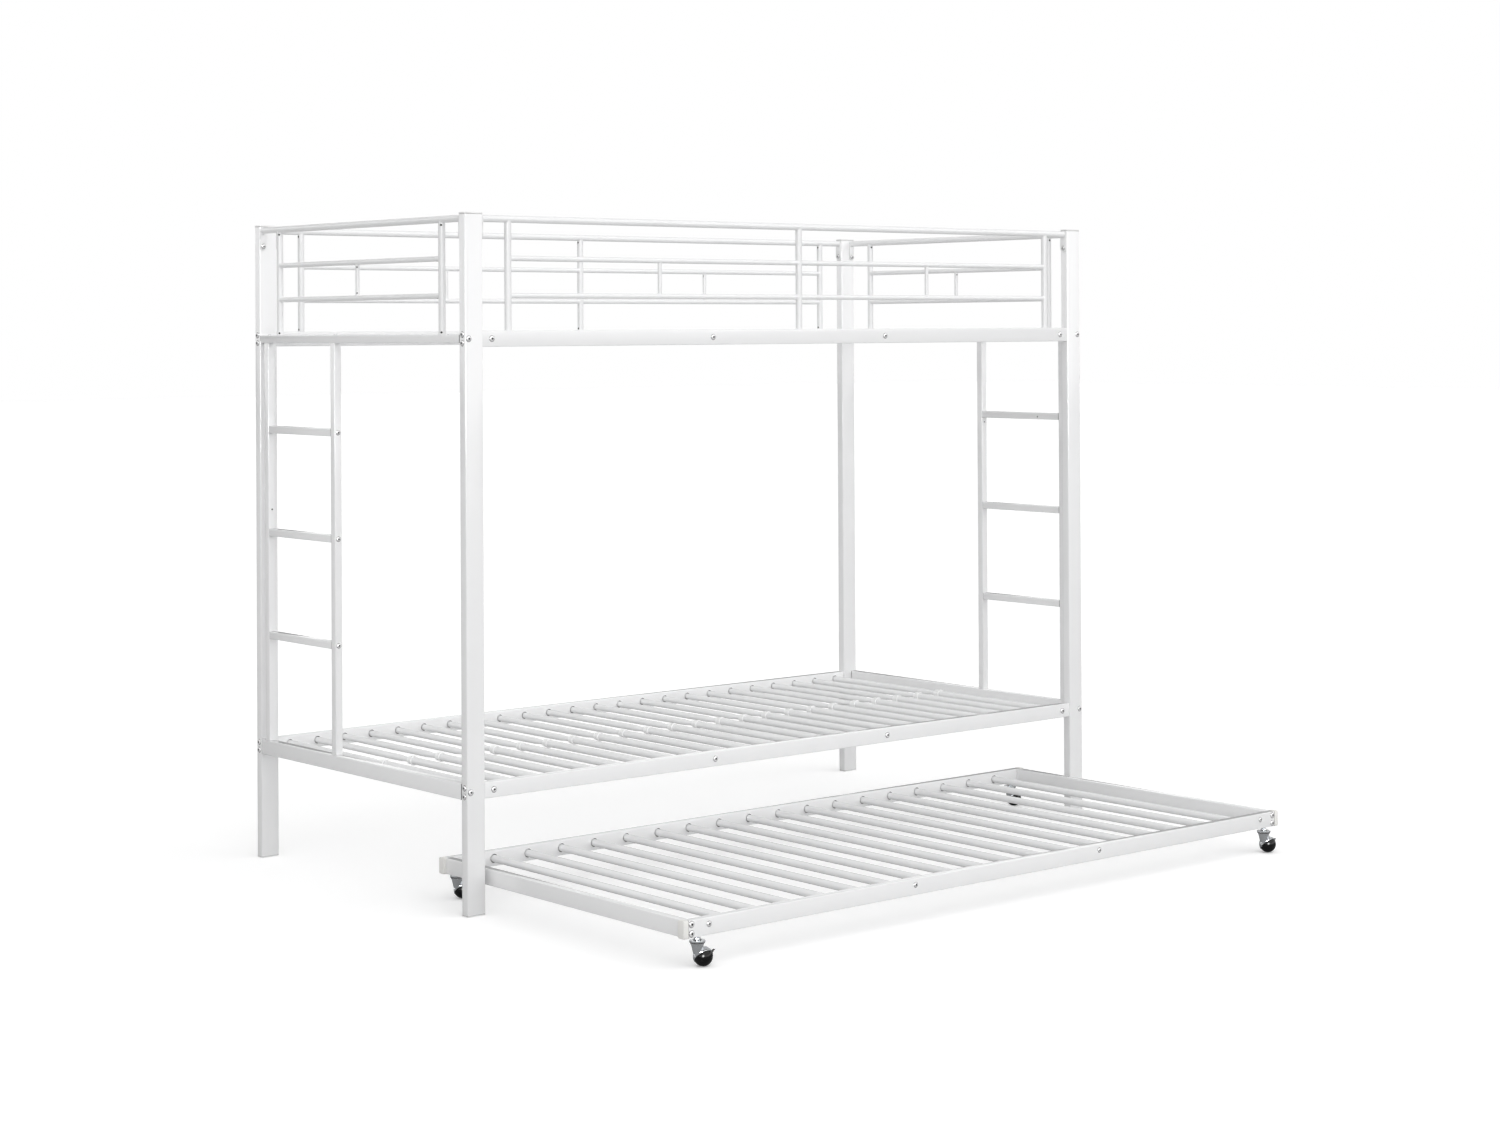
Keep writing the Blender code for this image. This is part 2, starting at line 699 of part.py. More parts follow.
def lever_place():
    """The brake lever's pivot, just outside the hood on its trailing side."""
    reach = HOOD_RADIUS + BARREL_RADIUS + 2 * SEAT_GAP
    x = CASTER_TRAIL + reach * math.cos(PIVOT_ANGLE)
    return Vector((x, 0, BALL_RADIUS + reach * math.sin(PIVOT_ANGLE)))


def brake_ears():
    """Two round-ended ears that stand off the hood on either side of the lever."""
    mesh = bmesh.new()
    heart = Vector((CASTER_TRAIL, 0, BALL_RADIUS))
    outward = (lever_place() - heart).normalized()
    root = HOOD_RADIUS - 2 * HOOD_WALL
    long = (lever_place() - heart).length - root
    for side in (-1, 1):
        y = side * (LEVER_WIDE / 2 + SEAT_GAP + EAR_THICK / 2)
        frame = Matrix((
            (outward.x, -outward.z, 0, heart.x + outward.x * root),
            (0, 0, -1, y),
            (outward.z, outward.x, 0, heart.z + outward.z * root),
            (0, 0, 0, 1),
        ))
        tongue(mesh, frame, long, EAR_WIDE, EAR_THICK, EAR_ARC_STEPS)
    return mesh


def brake_pin():
    mesh = bmesh.new()
    half = LEVER_WIDE / 2 + SEAT_GAP + EAR_THICK / 2
    place = lever_place()
    rod(mesh, place - Vector((0, half, 0)), place + Vector((0, half, 0)), PIVOT_RADIUS)
    return mesh


def caster_wheel(corner, ball):
    """The half ball that rolls, with the blind bore of its axle."""
    rim = math.asin(WHEEL_FACE_GAP / BALL_RADIUS)
    bore = AXLE_RADIUS + RUN_GAP
    floor = -(AXLE_LONG + RUN_GAP)
    quarter = math.pi / 2
    profile = [
        (0, floor),
        (bore, floor),
        (bore, -WHEEL_FACE_GAP),
        (BALL_RADIUS * math.cos(rim), -WHEEL_FACE_GAP),
        *arc(BALL_RADIUS, -quarter / BALL_STEPS, -quarter, BALL_STEPS - 1),
    ]
    made = screwed(f"caster_wheel_{corner}", profile, ball, BLACK)
    parts.objects.link(made)


def strip(mesh, path, thick, wide):
    """A bent flat strip across Y. Its path is a list of (x, z) points down the middle of its edge."""
    points = [Vector(point) for point in path]
    runs = [(after - before).normalized() for before, after in zip(points, points[1:])]
    sides = [Vector((-run.y, run.x)) for run in runs]
    joints = [sides[0], *((a + b) / (1 + a.dot(b)) for a, b in zip(sides, sides[1:])), sides[-1]]
    left = [point + joint * thick / 2 for point, joint in zip(points, joints)]
    right = [point - joint * thick / 2 for point, joint in zip(points, joints)]
    outline = [(point.x, -wide / 2, point.y) for point in [*left, *reversed(right)]]
    face = mesh.faces.new([mesh.verts.new(point) for point in outline])
    grown = bmesh.ops.extrude_face_region(mesh, geom=[face])["geom"]
    lifted = [item for item in grown if isinstance(item, bmesh.types.BMVert)]
    bmesh.ops.translate(mesh, vec=(0, wide, 0), verts=lifted)


def brake_lever(corner, swivel):
    """A lever whose arm is pressed down to bring its toe against the wheel."""
    hinge = pivot(f"brake_{corner}", lever_place(), swivel)
    half = LEVER_WIDE / 2
    barrel = bmesh.new()
    rod(barrel, (0, -half, 0), (0, half, 0), BARREL_RADIUS)
    made = solid(f"brake_lever_{corner}", barrel, hinge, BLACK)
    heel = (LEVER_SHANK * math.sin(LEVER_SHANK_SPLAY), -LEVER_SHANK * math.cos(LEVER_SHANK_SPLAY))
    path = [
        (LEVER_ARM * math.cos(LEVER_ARM_RISE), LEVER_ARM * math.sin(LEVER_ARM_RISE)),
        (0, 0),
        heel,
        (heel[0] - LEVER_TOE, heel[1]),
    ]
    blade = bmesh.new()
    strip(blade, path, LEVER_THICK, LEVER_WIDE - LEVER_THICK / 2)
    tool(made, blade, "UNION")
    bore = bmesh.new()
    rod(bore, (0, -half - OVERRUN, 0), (0, half + OVERRUN, 0), PIVOT_RADIUS + SEAT_GAP)
    tool(made, bore, "DIFFERENCE")


def caster(corner, side, end):
    place = (side * (trundle_half - CASTER_INSET), end * trundle_rail_centre, 0)
    swivel = pivot(f"caster_{corner}", place, trundle)
    ball = pivot(f"axle_{corner}", (CASTER_TRAIL, 0, BALL_RADIUS), swivel, -WHEEL_TILT)
    braked = end < 0
    caster_stem(corner, swivel)
    caster_hood(corner, swivel, ball, braked)
    caster_wheel(corner, ball)
    if braked:
        brake_lever(corner, swivel)


for corner_name, side_sign, end_sign in CORNERS:
    post(corner_name, side_sign, end_sign)
    caster(corner_name, side_sign, end_sign)

for end_word, end_sign in ENDS.items():
    side_rail("lower", LOWER_DECK, end_word, end_sign)
    side_rail("upper", UPPER_DECK, end_word, end_sign)
    side_guard(end_word, end_sign)
    trundle_rail(end_word, end_sign)

for side_word, side_sign in SIDES.items():
    end_rail("lower", LOWER_DECK, RAIL_TALL, side_word, side_sign)
    end_rail("upper", UPPER_DECK, HEAD_RAIL_TALL, side_word, side_sign)
    end_guard(side_word, side_sign)
    ladder(side_word, side_sign)
    trundle_end(side_word, side_sign)
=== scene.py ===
# Dresses a white tubular steel bunk bed and its pull-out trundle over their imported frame
import math
import bmesh
import bpy
from mathutils import Matrix, Vector


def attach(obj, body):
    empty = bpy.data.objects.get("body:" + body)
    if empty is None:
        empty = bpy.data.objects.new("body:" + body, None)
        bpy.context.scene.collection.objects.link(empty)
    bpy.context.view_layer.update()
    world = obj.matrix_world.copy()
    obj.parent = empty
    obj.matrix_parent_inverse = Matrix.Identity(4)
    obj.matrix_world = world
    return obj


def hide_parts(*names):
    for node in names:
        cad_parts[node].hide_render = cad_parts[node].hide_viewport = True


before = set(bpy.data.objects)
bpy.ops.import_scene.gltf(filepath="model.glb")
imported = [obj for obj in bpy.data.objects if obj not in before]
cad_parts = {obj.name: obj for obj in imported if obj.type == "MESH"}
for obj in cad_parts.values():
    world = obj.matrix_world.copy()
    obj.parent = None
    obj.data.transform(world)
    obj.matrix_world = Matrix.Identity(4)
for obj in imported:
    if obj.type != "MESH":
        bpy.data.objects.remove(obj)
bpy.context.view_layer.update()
print("frame loaded")


class Strand:
    # an output of a node, so that a sum on it adds its Math node
    def __init__(self, recipe, socket):
        self.recipe = recipe
        self.socket = socket

    def maths(self, operation, first, second):
        return self.recipe.node("ShaderNodeMath", {"operation": operation}, {0: first, 1: second})

    def __add__(self, other):
        return self.maths("ADD", self, other)

    def __mul__(self, other):
        return self.maths("MULTIPLY", self, other)

    def __gt__(self, other):
        return self.maths("GREATER_THAN", self, other)

    __radd__ = __add__
    __rmul__ = __mul__


class Recipe:
    # the nodes of a material or of the sky
    def __init__(self, tree):
        self.tree = tree

    def node(self, kind, settings, inputs, output=0):
        made = self.tree.nodes.new(kind)
        for name, value in settings.items():
            if name == "stops":
                for spare in range(len(value) - 2):
                    made.color_ramp.elements.new(0.5)
                for stop, (position, tone) in zip(made.color_ramp.elements, value):
                    stop.position = position
                    stop.color = (tone, tone, tone, 1)
            else:
                setattr(made, name, value)
        for name, value in inputs.items():
            self.plug(made.inputs[name], value)
        return Strand(self, made.outputs[output])

    def plug(self, socket, value):
        if isinstance(value, Strand):
            self.tree.links.new(value.socket, socket)
        else:
            socket.default_value = value


class Finish(Recipe):
    # a material, with the values that are the same all over it
    def __init__(self, name, fixed):
        self.material = bpy.data.materials.new(name)
        self.material.use_nodes = True
        super().__init__(self.material.node_tree)
        self.shader = self.tree.nodes["Principled BSDF"]
        self.place = self.node("ShaderNodeTexCoord", {}, {}, "Object")
        for socket, value in fixed.items():
            self.shader.inputs[socket].default_value = value

    def feed(self, name, value):
        self.plug(self.shader.inputs[name], value)

    def noise(self, scale, detail, place=None):
        spots = {"Vector": place or self.place, "Scale": scale, "Detail": detail}
        return self.node("ShaderNodeTexNoise", {}, spots, "Fac")

    def stretched(self, scale):
        # the object's own coordinates, longer along some of its axes
        return self.node("ShaderNodeMapping", {}, {"Vector": self.place, "Scale": scale}, "Vector")

    def mix(self, factor, first, second):
        # the sixth and seventh sockets are the node's colours, its second output their mix
        colours = {0: factor, 6: (*first, 1), 7: (*second, 1)}
        return self.node("ShaderNodeMix", {"data_type": "RGBA"}, colours, 2)

    def bump(self, height, strength, distance, under=None):
        rise = {"Height": height, "Strength": strength, "Distance": distance}
        if under:
            rise["Normal"] = under
        return self.node("ShaderNodeBump", {}, rise, "Normal")

    def dress(self, look, shade, sheen, rise, under=None):
        # colour, gloss and relief, each after its own pattern
        self.feed("Base Color", self.mix(shade, *look["tones"]))
        self.feed("Roughness", sheen * look["glossSpread"] + look["gloss"])
        self.feed("Normal", self.bump(rise, look["relief"], look["depth"], under))
        return self.material


# White polyester powder coat: orange peel, a soft cloud of gloss, a few grains baked in
coat = {
    "tones": ((0.845, 0.848, 0.855), (0.87, 0.87, 0.872)), "cloudScale": 9, "gloss": 0.30, "glossSpread": 0.16,
    "peelScale": 620, "relief": 0.6, "depth": 0.00012,
    "grainScale": 260, "grainFrom": 0.735, "grainRelief": 0.5, "grainDepth": 0.00015,
    "glaze": 0.75, "glazeSpread": 0.25,
}


def powderCoat():
    made = Finish("powderCoatWhite", {"IOR": 1.5, "Coat Roughness": 0.09, "Coat IOR": 1.5})
    cloud = made.noise(coat["cloudScale"], 4)
    peel = made.noise(coat["peelScale"], 2)
    grain = made.noise(coat["grainScale"], 1) > coat["grainFrom"]
    made.feed("Coat Weight", coat["glaze"] + peel * coat["glazeSpread"])
    grains = made.bump(grain, coat["grainRelief"], coat["grainDepth"])
    return made.dress(coat, cloud, cloud, peel, grains)


# Bright zinc plate on the bolts and screws
zinc = {
    "tones": ((0.80, 0.80, 0.81), (0.93, 0.93, 0.93)), "cloudScale": 420, "toolScale": 2600,
    "gloss": 0.13, "glossSpread": 0.16, "relief": 0.25, "depth": 0.00004,
}


def zincPlate():
    made = Finish("zincPlate", {"Metallic": 0.5, "Coat Weight": 0.5, "Coat Roughness": 0.08})
    cloud = made.noise(zinc["cloudScale"], 3)
    return made.dress(zinc, cloud, cloud, made.noise(zinc["toolScale"], 2))


# Chrome on the casters, over a casting that isn't quite smooth; its colour is mottled darker blue-grey as a painted
# reflection, and its gloss varies with the same pattern
chrome = {
    "tones": ((0.66, 0.70, 0.74), (0.94, 0.945, 0.95)), "rippleScale": 85, "hazeAndReflectionScale": 420,
    "gloss": 0.02, "glossSpread": 0.08, "relief": 1.0, "depth": 0.003,
}


def casterChrome():
    made = Finish("casterChrome", {"Metallic": 1.0})
    hazeAndReflection = made.noise(chrome["hazeAndReflectionScale"], 3)
    return made.dress(chrome, hazeAndReflection, hazeAndReflection, made.noise(chrome["rippleScale"], 2))


# Black nylon of the ball halves, polished by rolling, with a little dust
ball = {
    "tones": ((0.004, 0.004, 0.0045), (0.020, 0.020, 0.019)), "scuffScale": (900, 60, 60),
    "dustScale": 330, "dustFrom": 0.66, "dustShare": 0.6,
    "gloss": 0.08, "glossSpread": 0.14, "relief": 0.2, "depth": 0.00005,
}


def ballBlack():
    made = Finish("ballBlack", {"IOR": 1.5, "Specular IOR Level": 0.32})
    dust = (made.noise(ball["dustScale"], 5) > ball["dustFrom"]) * ball["dustShare"]
    scuff = made.noise(1, 3, made.stretched(ball["scuffScale"]))
    return made.dress(ball, dust, scuff, scuff)


# Gloss black on the brake levers, worn on their high spots
lever = {
    "tones": ((0.005, 0.005, 0.005), (0.03, 0.03, 0.03)), "wearScale": 520, "wornFrom": 0.62,
    "gloss": 0.12, "glossSpread": 0.25, "relief": 0.3, "depth": 0.00006,
}


def leverBlack():
    made = Finish("leverBlack", {"IOR": 1.5, "Specular IOR Level": 0.3})
    wear = made.noise(lever["wearScale"], 4)
    return made.dress(lever, wear > lever["wornFrom"], wear, wear)


# Moulded plastics: ivory caps on the trundle's rails, white caps and plugs on the posts, milky ferrules
ivory = {
    "tones": ((0.79, 0.78, 0.755), (0.83, 0.825, 0.80)), "flowScale": (40, 40, 160), "sparkScale": 1900,
    "gloss": 0.36, "glossSpread": 0.12, "relief": 0.35, "depth": 0.00006,
}
cap = {
    "tones": ((0.79, 0.79, 0.785), (0.84, 0.84, 0.835)), "flowScale": (30, 30, 140), "sparkScale": 1700,
    "gloss": 0.34, "glossSpread": 0.14, "relief": 0.3, "depth": 0.00006,
}
milk = {
    "tones": ((0.90, 0.905, 0.91), (0.95, 0.95, 0.945)), "cloudScale": 180,
    "gloss": 0.22, "glossSpread": 0.14, "relief": 0.2, "depth": 0.0001,
}


def mouldedPlastic(name, look):
    made = Finish(name, {"IOR": 1.49})
    flow = made.noise(1, 2, made.stretched(look["flowScale"]))
    return made.dress(look, flow, flow, made.noise(look["sparkScale"], 2))


def milkyPlastic():
    made = Finish("milkyPlastic", {"IOR": 1.5})
    cloud = made.noise(milk["cloudScale"], 3)
    return made.dress(milk, cloud, cloud, cloud)


# Raw steel within the tubes, and the shade in their holes, joints and sockets painted dark
steelAndShade = {"dark": (0.012, 0.011, 0.010), "rust": (0.035, 0.030, 0.027), "scale": 240, "gloss": 0.7, "spread": 0.2}


def bareSteelAndShade():
    made = Finish("bareSteelAndShade", {})
    rust = made.noise(steelAndShade["scale"], 4)
    made.feed("Base Color", made.mix(rust, steelAndShade["dark"], steelAndShade["rust"]))
    made.feed("Roughness", rust * steelAndShade["spread"] + steelAndShade["gloss"])
    return made.material


finishes = {
    "coat": powderCoat(),
    "zinc": zincPlate(),
    "chrome": casterChrome(),
    "ball": ballBlack(),
    "lever": leverBlack(),
    "ivory": mouldedPlastic("ivoryPlastic", ivory),
    "cap": mouldedPlastic("whitePlastic", cap),
    "milk": milkyPlastic(),
    "steelAndShade": bareSteelAndShade(),
}
print("finishes mixed")


def meshOf(name, bm):
    data = bpy.data.meshes.new(name)
    bm.to_mesh(data)
    bm.free()
    return data


def setUp(name, data):
    # an object for the data, put into the scene
    made = bpy.data.objects.new(name, data)
    bpy.context.scene.collection.objects.link(made)
    return made


def addTo(bm, part, place=Matrix()):
    # a finished part, moved to its place and added to a piece
    bmesh.ops.transform(part, matrix=place, verts=part.verts)
    data = meshOf("passing", part)
    bm.from_mesh(data)
    bpy.data.meshes.remove(data)


def addDark(bm, part, place=Matrix()):
    # the same on the piece's second material, the dark one: painted shade in joints, under bolt heads and round the
    # casters, and dark steel on the brake lugs
    for face in part.faces:
        face.material_index = 1
    addTo(bm, part, place)


def looking(point, direction):
    # a frame at a point whose +Z looks along a direction
    turn = Vector(direction).to_track_quat("Z", "Y")
    return Matrix.Translation(point) @ turn.to_matrix().to_4x4()


def axes(x, y, z, origin):
    # a frame at a point, from its three axes
    return Matrix.Translation(origin) @ Matrix((x, y, z)).transposed().to_4x4()


def roundOff(bm, edges, width, steps):
    bmesh.ops.bevel(bm, geom=list(edges), offset=width, segments=steps, profile=0.5, affect="EDGES", material=-1)


def rimsOf(bm, axis):
    # the edges of the flat ends that a tube or plate has along an axis
    bm.normal_update()
    return dict.fromkeys(edge for face in bm.faces if abs(face.normal[axis]) > 0.99 for edge in face.edges)


def addBar(bm, low, high, axis, rounding, rim=0.0005):
    # a rectangular tube along one axis, with rolled edges and a broken rim at each end
    size = Vector(high) - Vector(low)
    tube = bmesh.new()
    bmesh.ops.create_cube(tube, size=1, matrix=Matrix.Diagonal((*size, 1)))
    long = [edge for edge in tube.edges if abs((edge.verts[0].co - edge.verts[1].co)[axis]) > size[axis] / 2]
    roundOff(tube, long, rounding, 4)
    roundOff(tube, rimsOf(tube, axis), rim, 2)
    addTo(bm, tube, Matrix.Translation((Vector(low) + Vector(high)) / 2))


def addShadowSlab(bm, centre, size):
    # a painted shadow line in a joint: a thin dark slab
    slab = bmesh.new()
    bmesh.ops.create_cube(slab, size=1, matrix=Matrix.Diagonal((*size, 1)))
    addDark(bm, slab, Matrix.Translation(centre))


def addCone(bm, low, high, depth, sides, place=Matrix()):
    # a capped cone or cylinder round +Z, from its two radii
    bmesh.ops.create_cone(bm, cap_ends=True, segments=sides, radius1=low, radius2=high, depth=depth, matrix=place)


def addTube(bm, start, end, radius, sides=28):
    start, end = Vector(start), Vector(end)
    addCone(bm, radius, radius, (end - start).length, sides, looking((start + end) / 2, end - start))


def spun(bm, geom, steps):
    bmesh.ops.spin(bm, geom=geom, cent=(0, 0, 0), axis=(0, 0, 1), angle=2 * math.pi, steps=steps, use_merge=True)


def addTurned(bm, frameAt, outline, sides):
    # a shape turned from an outline of (distance along the axis, radius) points
    part = bmesh.new()
    points = [part.verts.new((radius, 0, distance)) for distance, radius in outline]
    edges = [part.edges.new(pair) for pair in zip(points, points[1:])]
    spun(part, points + edges, sides)
    bmesh.ops.remove_doubles(part, verts=part.verts, dist=0.000001)
    addTo(bm, part, frameAt)


def addLoft(bm, rings, sides):
    # a skin over round sections, each a frame with a width and a depth
    frames = [place @ Matrix.Diagonal((wide, deep, 1, 1)) for place, wide, deep in rings]
    part = bmesh.new()
    bmesh.ops.create_circle(part, cap_ends=True, segments=sides, radius=1, matrix=frames[0])
    face = list(part.faces)[0]
    for before, after in zip(frames, frames[1:]):
        grown = bmesh.ops.extrude_face_region(part, geom=[face])["geom"]
        verts = [item for item in grown if isinstance(item, bmesh.types.BMVert)]
        face = [item for item in grown if isinstance(item, bmesh.types.BMFace)][0]
        bmesh.ops.transform(part, matrix=after @ before.inverted(), verts=verts)
    addTo(bm, part)


def cutFrom(bm, plugs):
    # the first mesh with the second cut out of it, its cut faces on the second material, raw steel painted dark for the
    # shade in the holes
    halves = []
    for mesh, look in ((bm, "coat"), (plugs, "steelAndShade")):
        bmesh.ops.recalc_face_normals(mesh, faces=mesh.faces)
        half = setUp(look, meshOf(look, mesh))
        half.data.materials.append(finishes[look])
        halves.append(half)
    change = halves[0].modifiers.new("cut", "BOOLEAN")
    change.object = halves[1]
    change.operation = "DIFFERENCE"
    change.solver = "EXACT"
    change.material_mode = "TRANSFER"
    shapes = bpy.context.evaluated_depsgraph_get()
    left = bmesh.new()
    left.from_mesh(halves[0].evaluated_get(shapes).to_mesh())
    for half in halves:
        data = half.data
        bpy.data.objects.remove(half)
        bpy.data.meshes.remove(data)
    return left


def piece(name, bm, body, looks, nodes=(), sharp=38, place=(0, 0, 0)):
    # a bmesh moved to its place and made into a shown piece that rides on a body
    bmesh.ops.translate(bm, vec=place, verts=bm.verts)
    bmesh.ops.recalc_face_normals(bm, faces=bm.faces)
    data = meshOf(name, bm)
    for look in looks:
        data.materials.append(finishes[look])
    data.shade_smooth()
    data.set_sharp_from_angle(angle=math.radians(sharp))
    made = setUp(name, data)
    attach(made, body)
    if nodes:
        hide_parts(*nodes)


# Button-head bolts with a hex socket
buttonBolt = {"radius": 0.007, "tall": 0.0024, "rim": 0.0007, "socket": 0.0024, "deep": 0.0019, "sunk": 0.0004}
smallBolt = {"radius": 0.0060, "tall": 0.0022, "rim": 0.0006, "socket": 0.0021, "deep": 0.0016, "sunk": 0.0004}
domedScrew = {"radius": 0.0045, "tall": 0.0021, "rim": 0.0004, "socket": 0.0014, "deep": 0.0013, "sunk": 0.0004}
boltTrim = {
    "ringOver": 0.0008, "ringTop": 0.0006, "ringThick": 0.0008, "ringLow": 0.0001, "taper": 0.985,
    "crown": (18, 36, 54, 72, 90), "land": 0.0002, "step": 0.00005,
}


def hexShare(angle):
    # how far a flat-sided socket reaches at an angle, for a socket one unit from flat to middle
    return 1 / math.cos(angle % (math.pi / 3) - math.pi / 6)


def addBolt(bm, seat, outward, look):
    # a domed head on a dark collar of painted shade, with a six-sided socket painted dark for its shade
    trim, wide = boltTrim, look["radius"]
    # the dark collar, a little wider than the head, is painted shade under it
    ring = bmesh.new()
    under = Matrix.Translation((0, 0, -trim["ringLow"]))
    addCone(ring, wide + trim["ringOver"], wide + trim["ringTop"], trim["ringThick"], 24, under)
    addDark(bm, ring, looking(seat, outward))
    head = bmesh.new()
    high = look["rim"] + look["sunk"]
    addCone(head, wide, wide * trim["taper"], high, 24, Matrix.Translation((0, 0, high / 2 - look["sunk"])))
    head.normal_update()
    top = max(head.faces, key=lambda face: face.calc_center_median().z)
    mouth = look["socket"] * hexShare(0) + trim["land"]
    reach = wide * trim["taper"] - mouth
    rise = look["tall"] - look["rim"]
    run = climb = 0
    for turn in trim["crown"]:
        nextRun = reach * (1 - math.cos(math.radians(turn)))
        nextClimb = rise * math.sin(math.radians(turn))
        bmesh.ops.inset_region(head, faces=[top], thickness=nextRun - run, depth=nextClimb - climb)
        run, climb = nextRun, nextClimb
    bmesh.ops.inset_region(head, faces=[top], thickness=trim["land"])
    for vert in top.verts:
        flat = Vector((vert.co.x, vert.co.y))
        reachTo = look["socket"] * hexShare(math.atan2(flat.y, flat.x))
        vert.co.x, vert.co.y = flat.normalized() * reachTo
    walls = bmesh.ops.inset_region(head, faces=[top], thickness=trim["step"], depth=-look["deep"])["faces"]
    # the socket's floor and walls go on the dark material: painted shade
    for face in (top, *walls):
        face.material_index = 1
    addTo(bm, head, looking(seat, outward))


# Weld beads
weld = {"bead": 0.0011, "ripple": 0.00022, "waves": 11}


def addWeld(bm, joint, outward, radius, host, hostAxis, bead=weld["bead"]):
    # a rippled bead round a tube where it meets another of radius host, or a flat, which has none
    joint, outward = Vector(joint), Vector(outward).normalized()
    seam = bmesh.new()
    section = Matrix.Translation((radius, 0, 0)) @ Matrix.Rotation(math.pi / 2, 4, "X")
    bmesh.ops.create_circle(seam, segments=8, radius=bead, matrix=section)
    spun(seam, [*seam.verts, *seam.edges], 28)
    bmesh.ops.transform(seam, matrix=looking(joint, outward), verts=seam.verts)
    across = outward.cross(Vector(hostAxis)).normalized()
    up = outward.cross(across)
    for vert in seam.verts:
        reach = vert.co - joint
        side = reach.dot(across)
        ripple = weld["ripple"] * math.sin(weld["waves"] * math.atan2(side, reach.dot(up)))
        if host:
            vert.co -= outward * (host - math.sqrt(max(host * host - side * side, 0)))
        vert.co += reach.normalized() * ripple
    addTo(bm, seam)


# Where the bed's tubes run, in metres
bed = {
    "halfLong": 1.040, "postInner": 0.990, "front": -0.10075, "back": 0.84425, "middle": 0.37175, "endX": 1.030,
    "low": 0.289, "high": 1.343, "tall": 0.038, "deep": 0.020, "seat": 0.0002,
}
sides = {"left": -1, "right": 1}
ends = {"front": -1, "back": 1}
decks = {"lower": bed["low"], "upper": bed["high"]}


def titled(*words):
    return "".join(word.capitalize() for word in words)


# Posts: flat-sided steel tube, a white plastic cap on top and a plug of the same in the foot
post = {
    "wide": 0.050, "deep": 0.025, "top": 1.634, "foot": 0.0033, "corner": 0.003,
    "boltInset": 0.010, "boltLifts": (-0.010, 0.010),
}
stoppers = {
    "postCap": {
        "node": "post_cap", "low": 1.6343, "high": 1.6382, "joint": (1.634, 1.6343),
        "over": 0.0008, "round": 0.0012, "shadowSlabIn": 0.0006,
    },
    "footPlug": {
        "node": "foot_plug", "low": 0, "high": 0.0029, "joint": (0.0029, 0.0033),
        "over": 0, "round": 0.0008, "shadowSlabIn": 0.001,
    },
}


def makePost(endName, sideName):
    end, side = ends[endName], sides[sideName]
    x = side * (bed["halfLong"] - post["wide"] / 2)
    y = bed[endName]
    halfX, halfY = post["wide"] / 2, post["deep"] / 2
    name = titled(endName, sideName)
    bm = bmesh.new()
    addBar(bm, (x - halfX, y - halfY, post["foot"]), (x + halfX, y + halfY, post["top"]), 2, post["corner"])
    piece(f"post{name}", bm, "bed", ["coat"], [f"post_{endName}_{sideName}"])
    bolts = bmesh.new()
    for height in decks.values():
        for lift in post["boltLifts"]:
            addBolt(bolts, (side * bed["halfLong"], y, height + lift), (side, 0, 0), buttonBolt)
        inset = side * (bed["halfLong"] - post["boltInset"])
        addBolt(bolts, (inset, y + end * halfY, height), (0, end, 0), buttonBolt)
    piece(f"postBolts{name}", bolts, "bed", ["zinc", "steelAndShade"])
    for label, look in stoppers.items():
        reachX, reachY = halfX + look["over"], halfY + look["over"]
        low, high = (x - reachX, y - reachY, look["low"]), (x + reachX, y + reachY, look["high"])
        bm = bmesh.new()
        addBar(bm, low, high, 2, post["corner"], look["round"])
        # a thin dark slab in the stopper's joint with the post: a painted shadow line
        start, last = look["joint"]
        size = (post["wide"] - look["shadowSlabIn"], post["deep"] - look["shadowSlabIn"], last - start)
        addShadowSlab(bm, (x, y, (start + last) / 2), size)
        piece(f"{label}{name}", bm, "bed", ["cap", "steelAndShade"], [f"{look['node']}_{endName}_{sideName}"])


for endName in ends:
    for sideName in sides:
        makePost(endName, sideName)
print("posts stood up")

# Side rails, drilled on their inner faces for the slats
rail = {"corner": 0.002, "panelBolts": (0.963, 0.2935), "hole": 0.0016, "holeDeep": 0.006, "holeOver": 0.002}
slat = {
    "count": 24, "margin": 0.085, "frontRadius": 0.009, "backRadius": 0.008, "entry": 0.004,
    "neckRadius": 0.0062, "neckFrom": 0.065, "neckLong": 0.028, "neckSteps": 8, "plugFrom": 0.010,
}
# the ferrule's outline from its front lip on, and a dark band behind the lip, painted shade
ferrule = {
    "inFront": 0.0015,
    "outline": [
        (0.001, 0), (0.001, 0.0091), (0, 0.0096), (0, 0.0116), (0.0005, 0.0121), (0.0026, 0.0121), (0.0032, 0.0115),
        (0.0035, 0.0109), (0.0041, 0.0106), (0.0155, 0.0106), (0.0205, 0.0095), (0.0215, 0.0087), (0.0215, 0.0073),
        (0.0211, 0.0070), (0.0135, 0.0070), (0.0135, 0),
    ],
    "ring": [(0.0032, 0), (0.0032, 0.0111), (0.0037, 0.0111), (0.0037, 0)],
}


def slatPlaces():
    first = bed["halfLong"] - slat["margin"]
    return [first * (2 * n / (slat["count"] - 1) - 1) for n in range(slat["count"])]


def neckProfile(long):
    # a tube that is swaged down to its plug near the far end
    points = [(0, 0), (0, slat["backRadius"])]
    for step in range(slat["neckSteps"] + 1):
        share = step / slat["neckSteps"]
        ease = share * share * (3 - 2 * share)
        distance = long - slat["neckFrom"] + slat["neckLong"] * share
        points.append((distance, slat["backRadius"] + (slat["neckRadius"] - slat["backRadius"]) * ease))
    end = long - slat["plugFrom"]
    return [*points, (end, slat["neckRadius"]), (end, 0)]


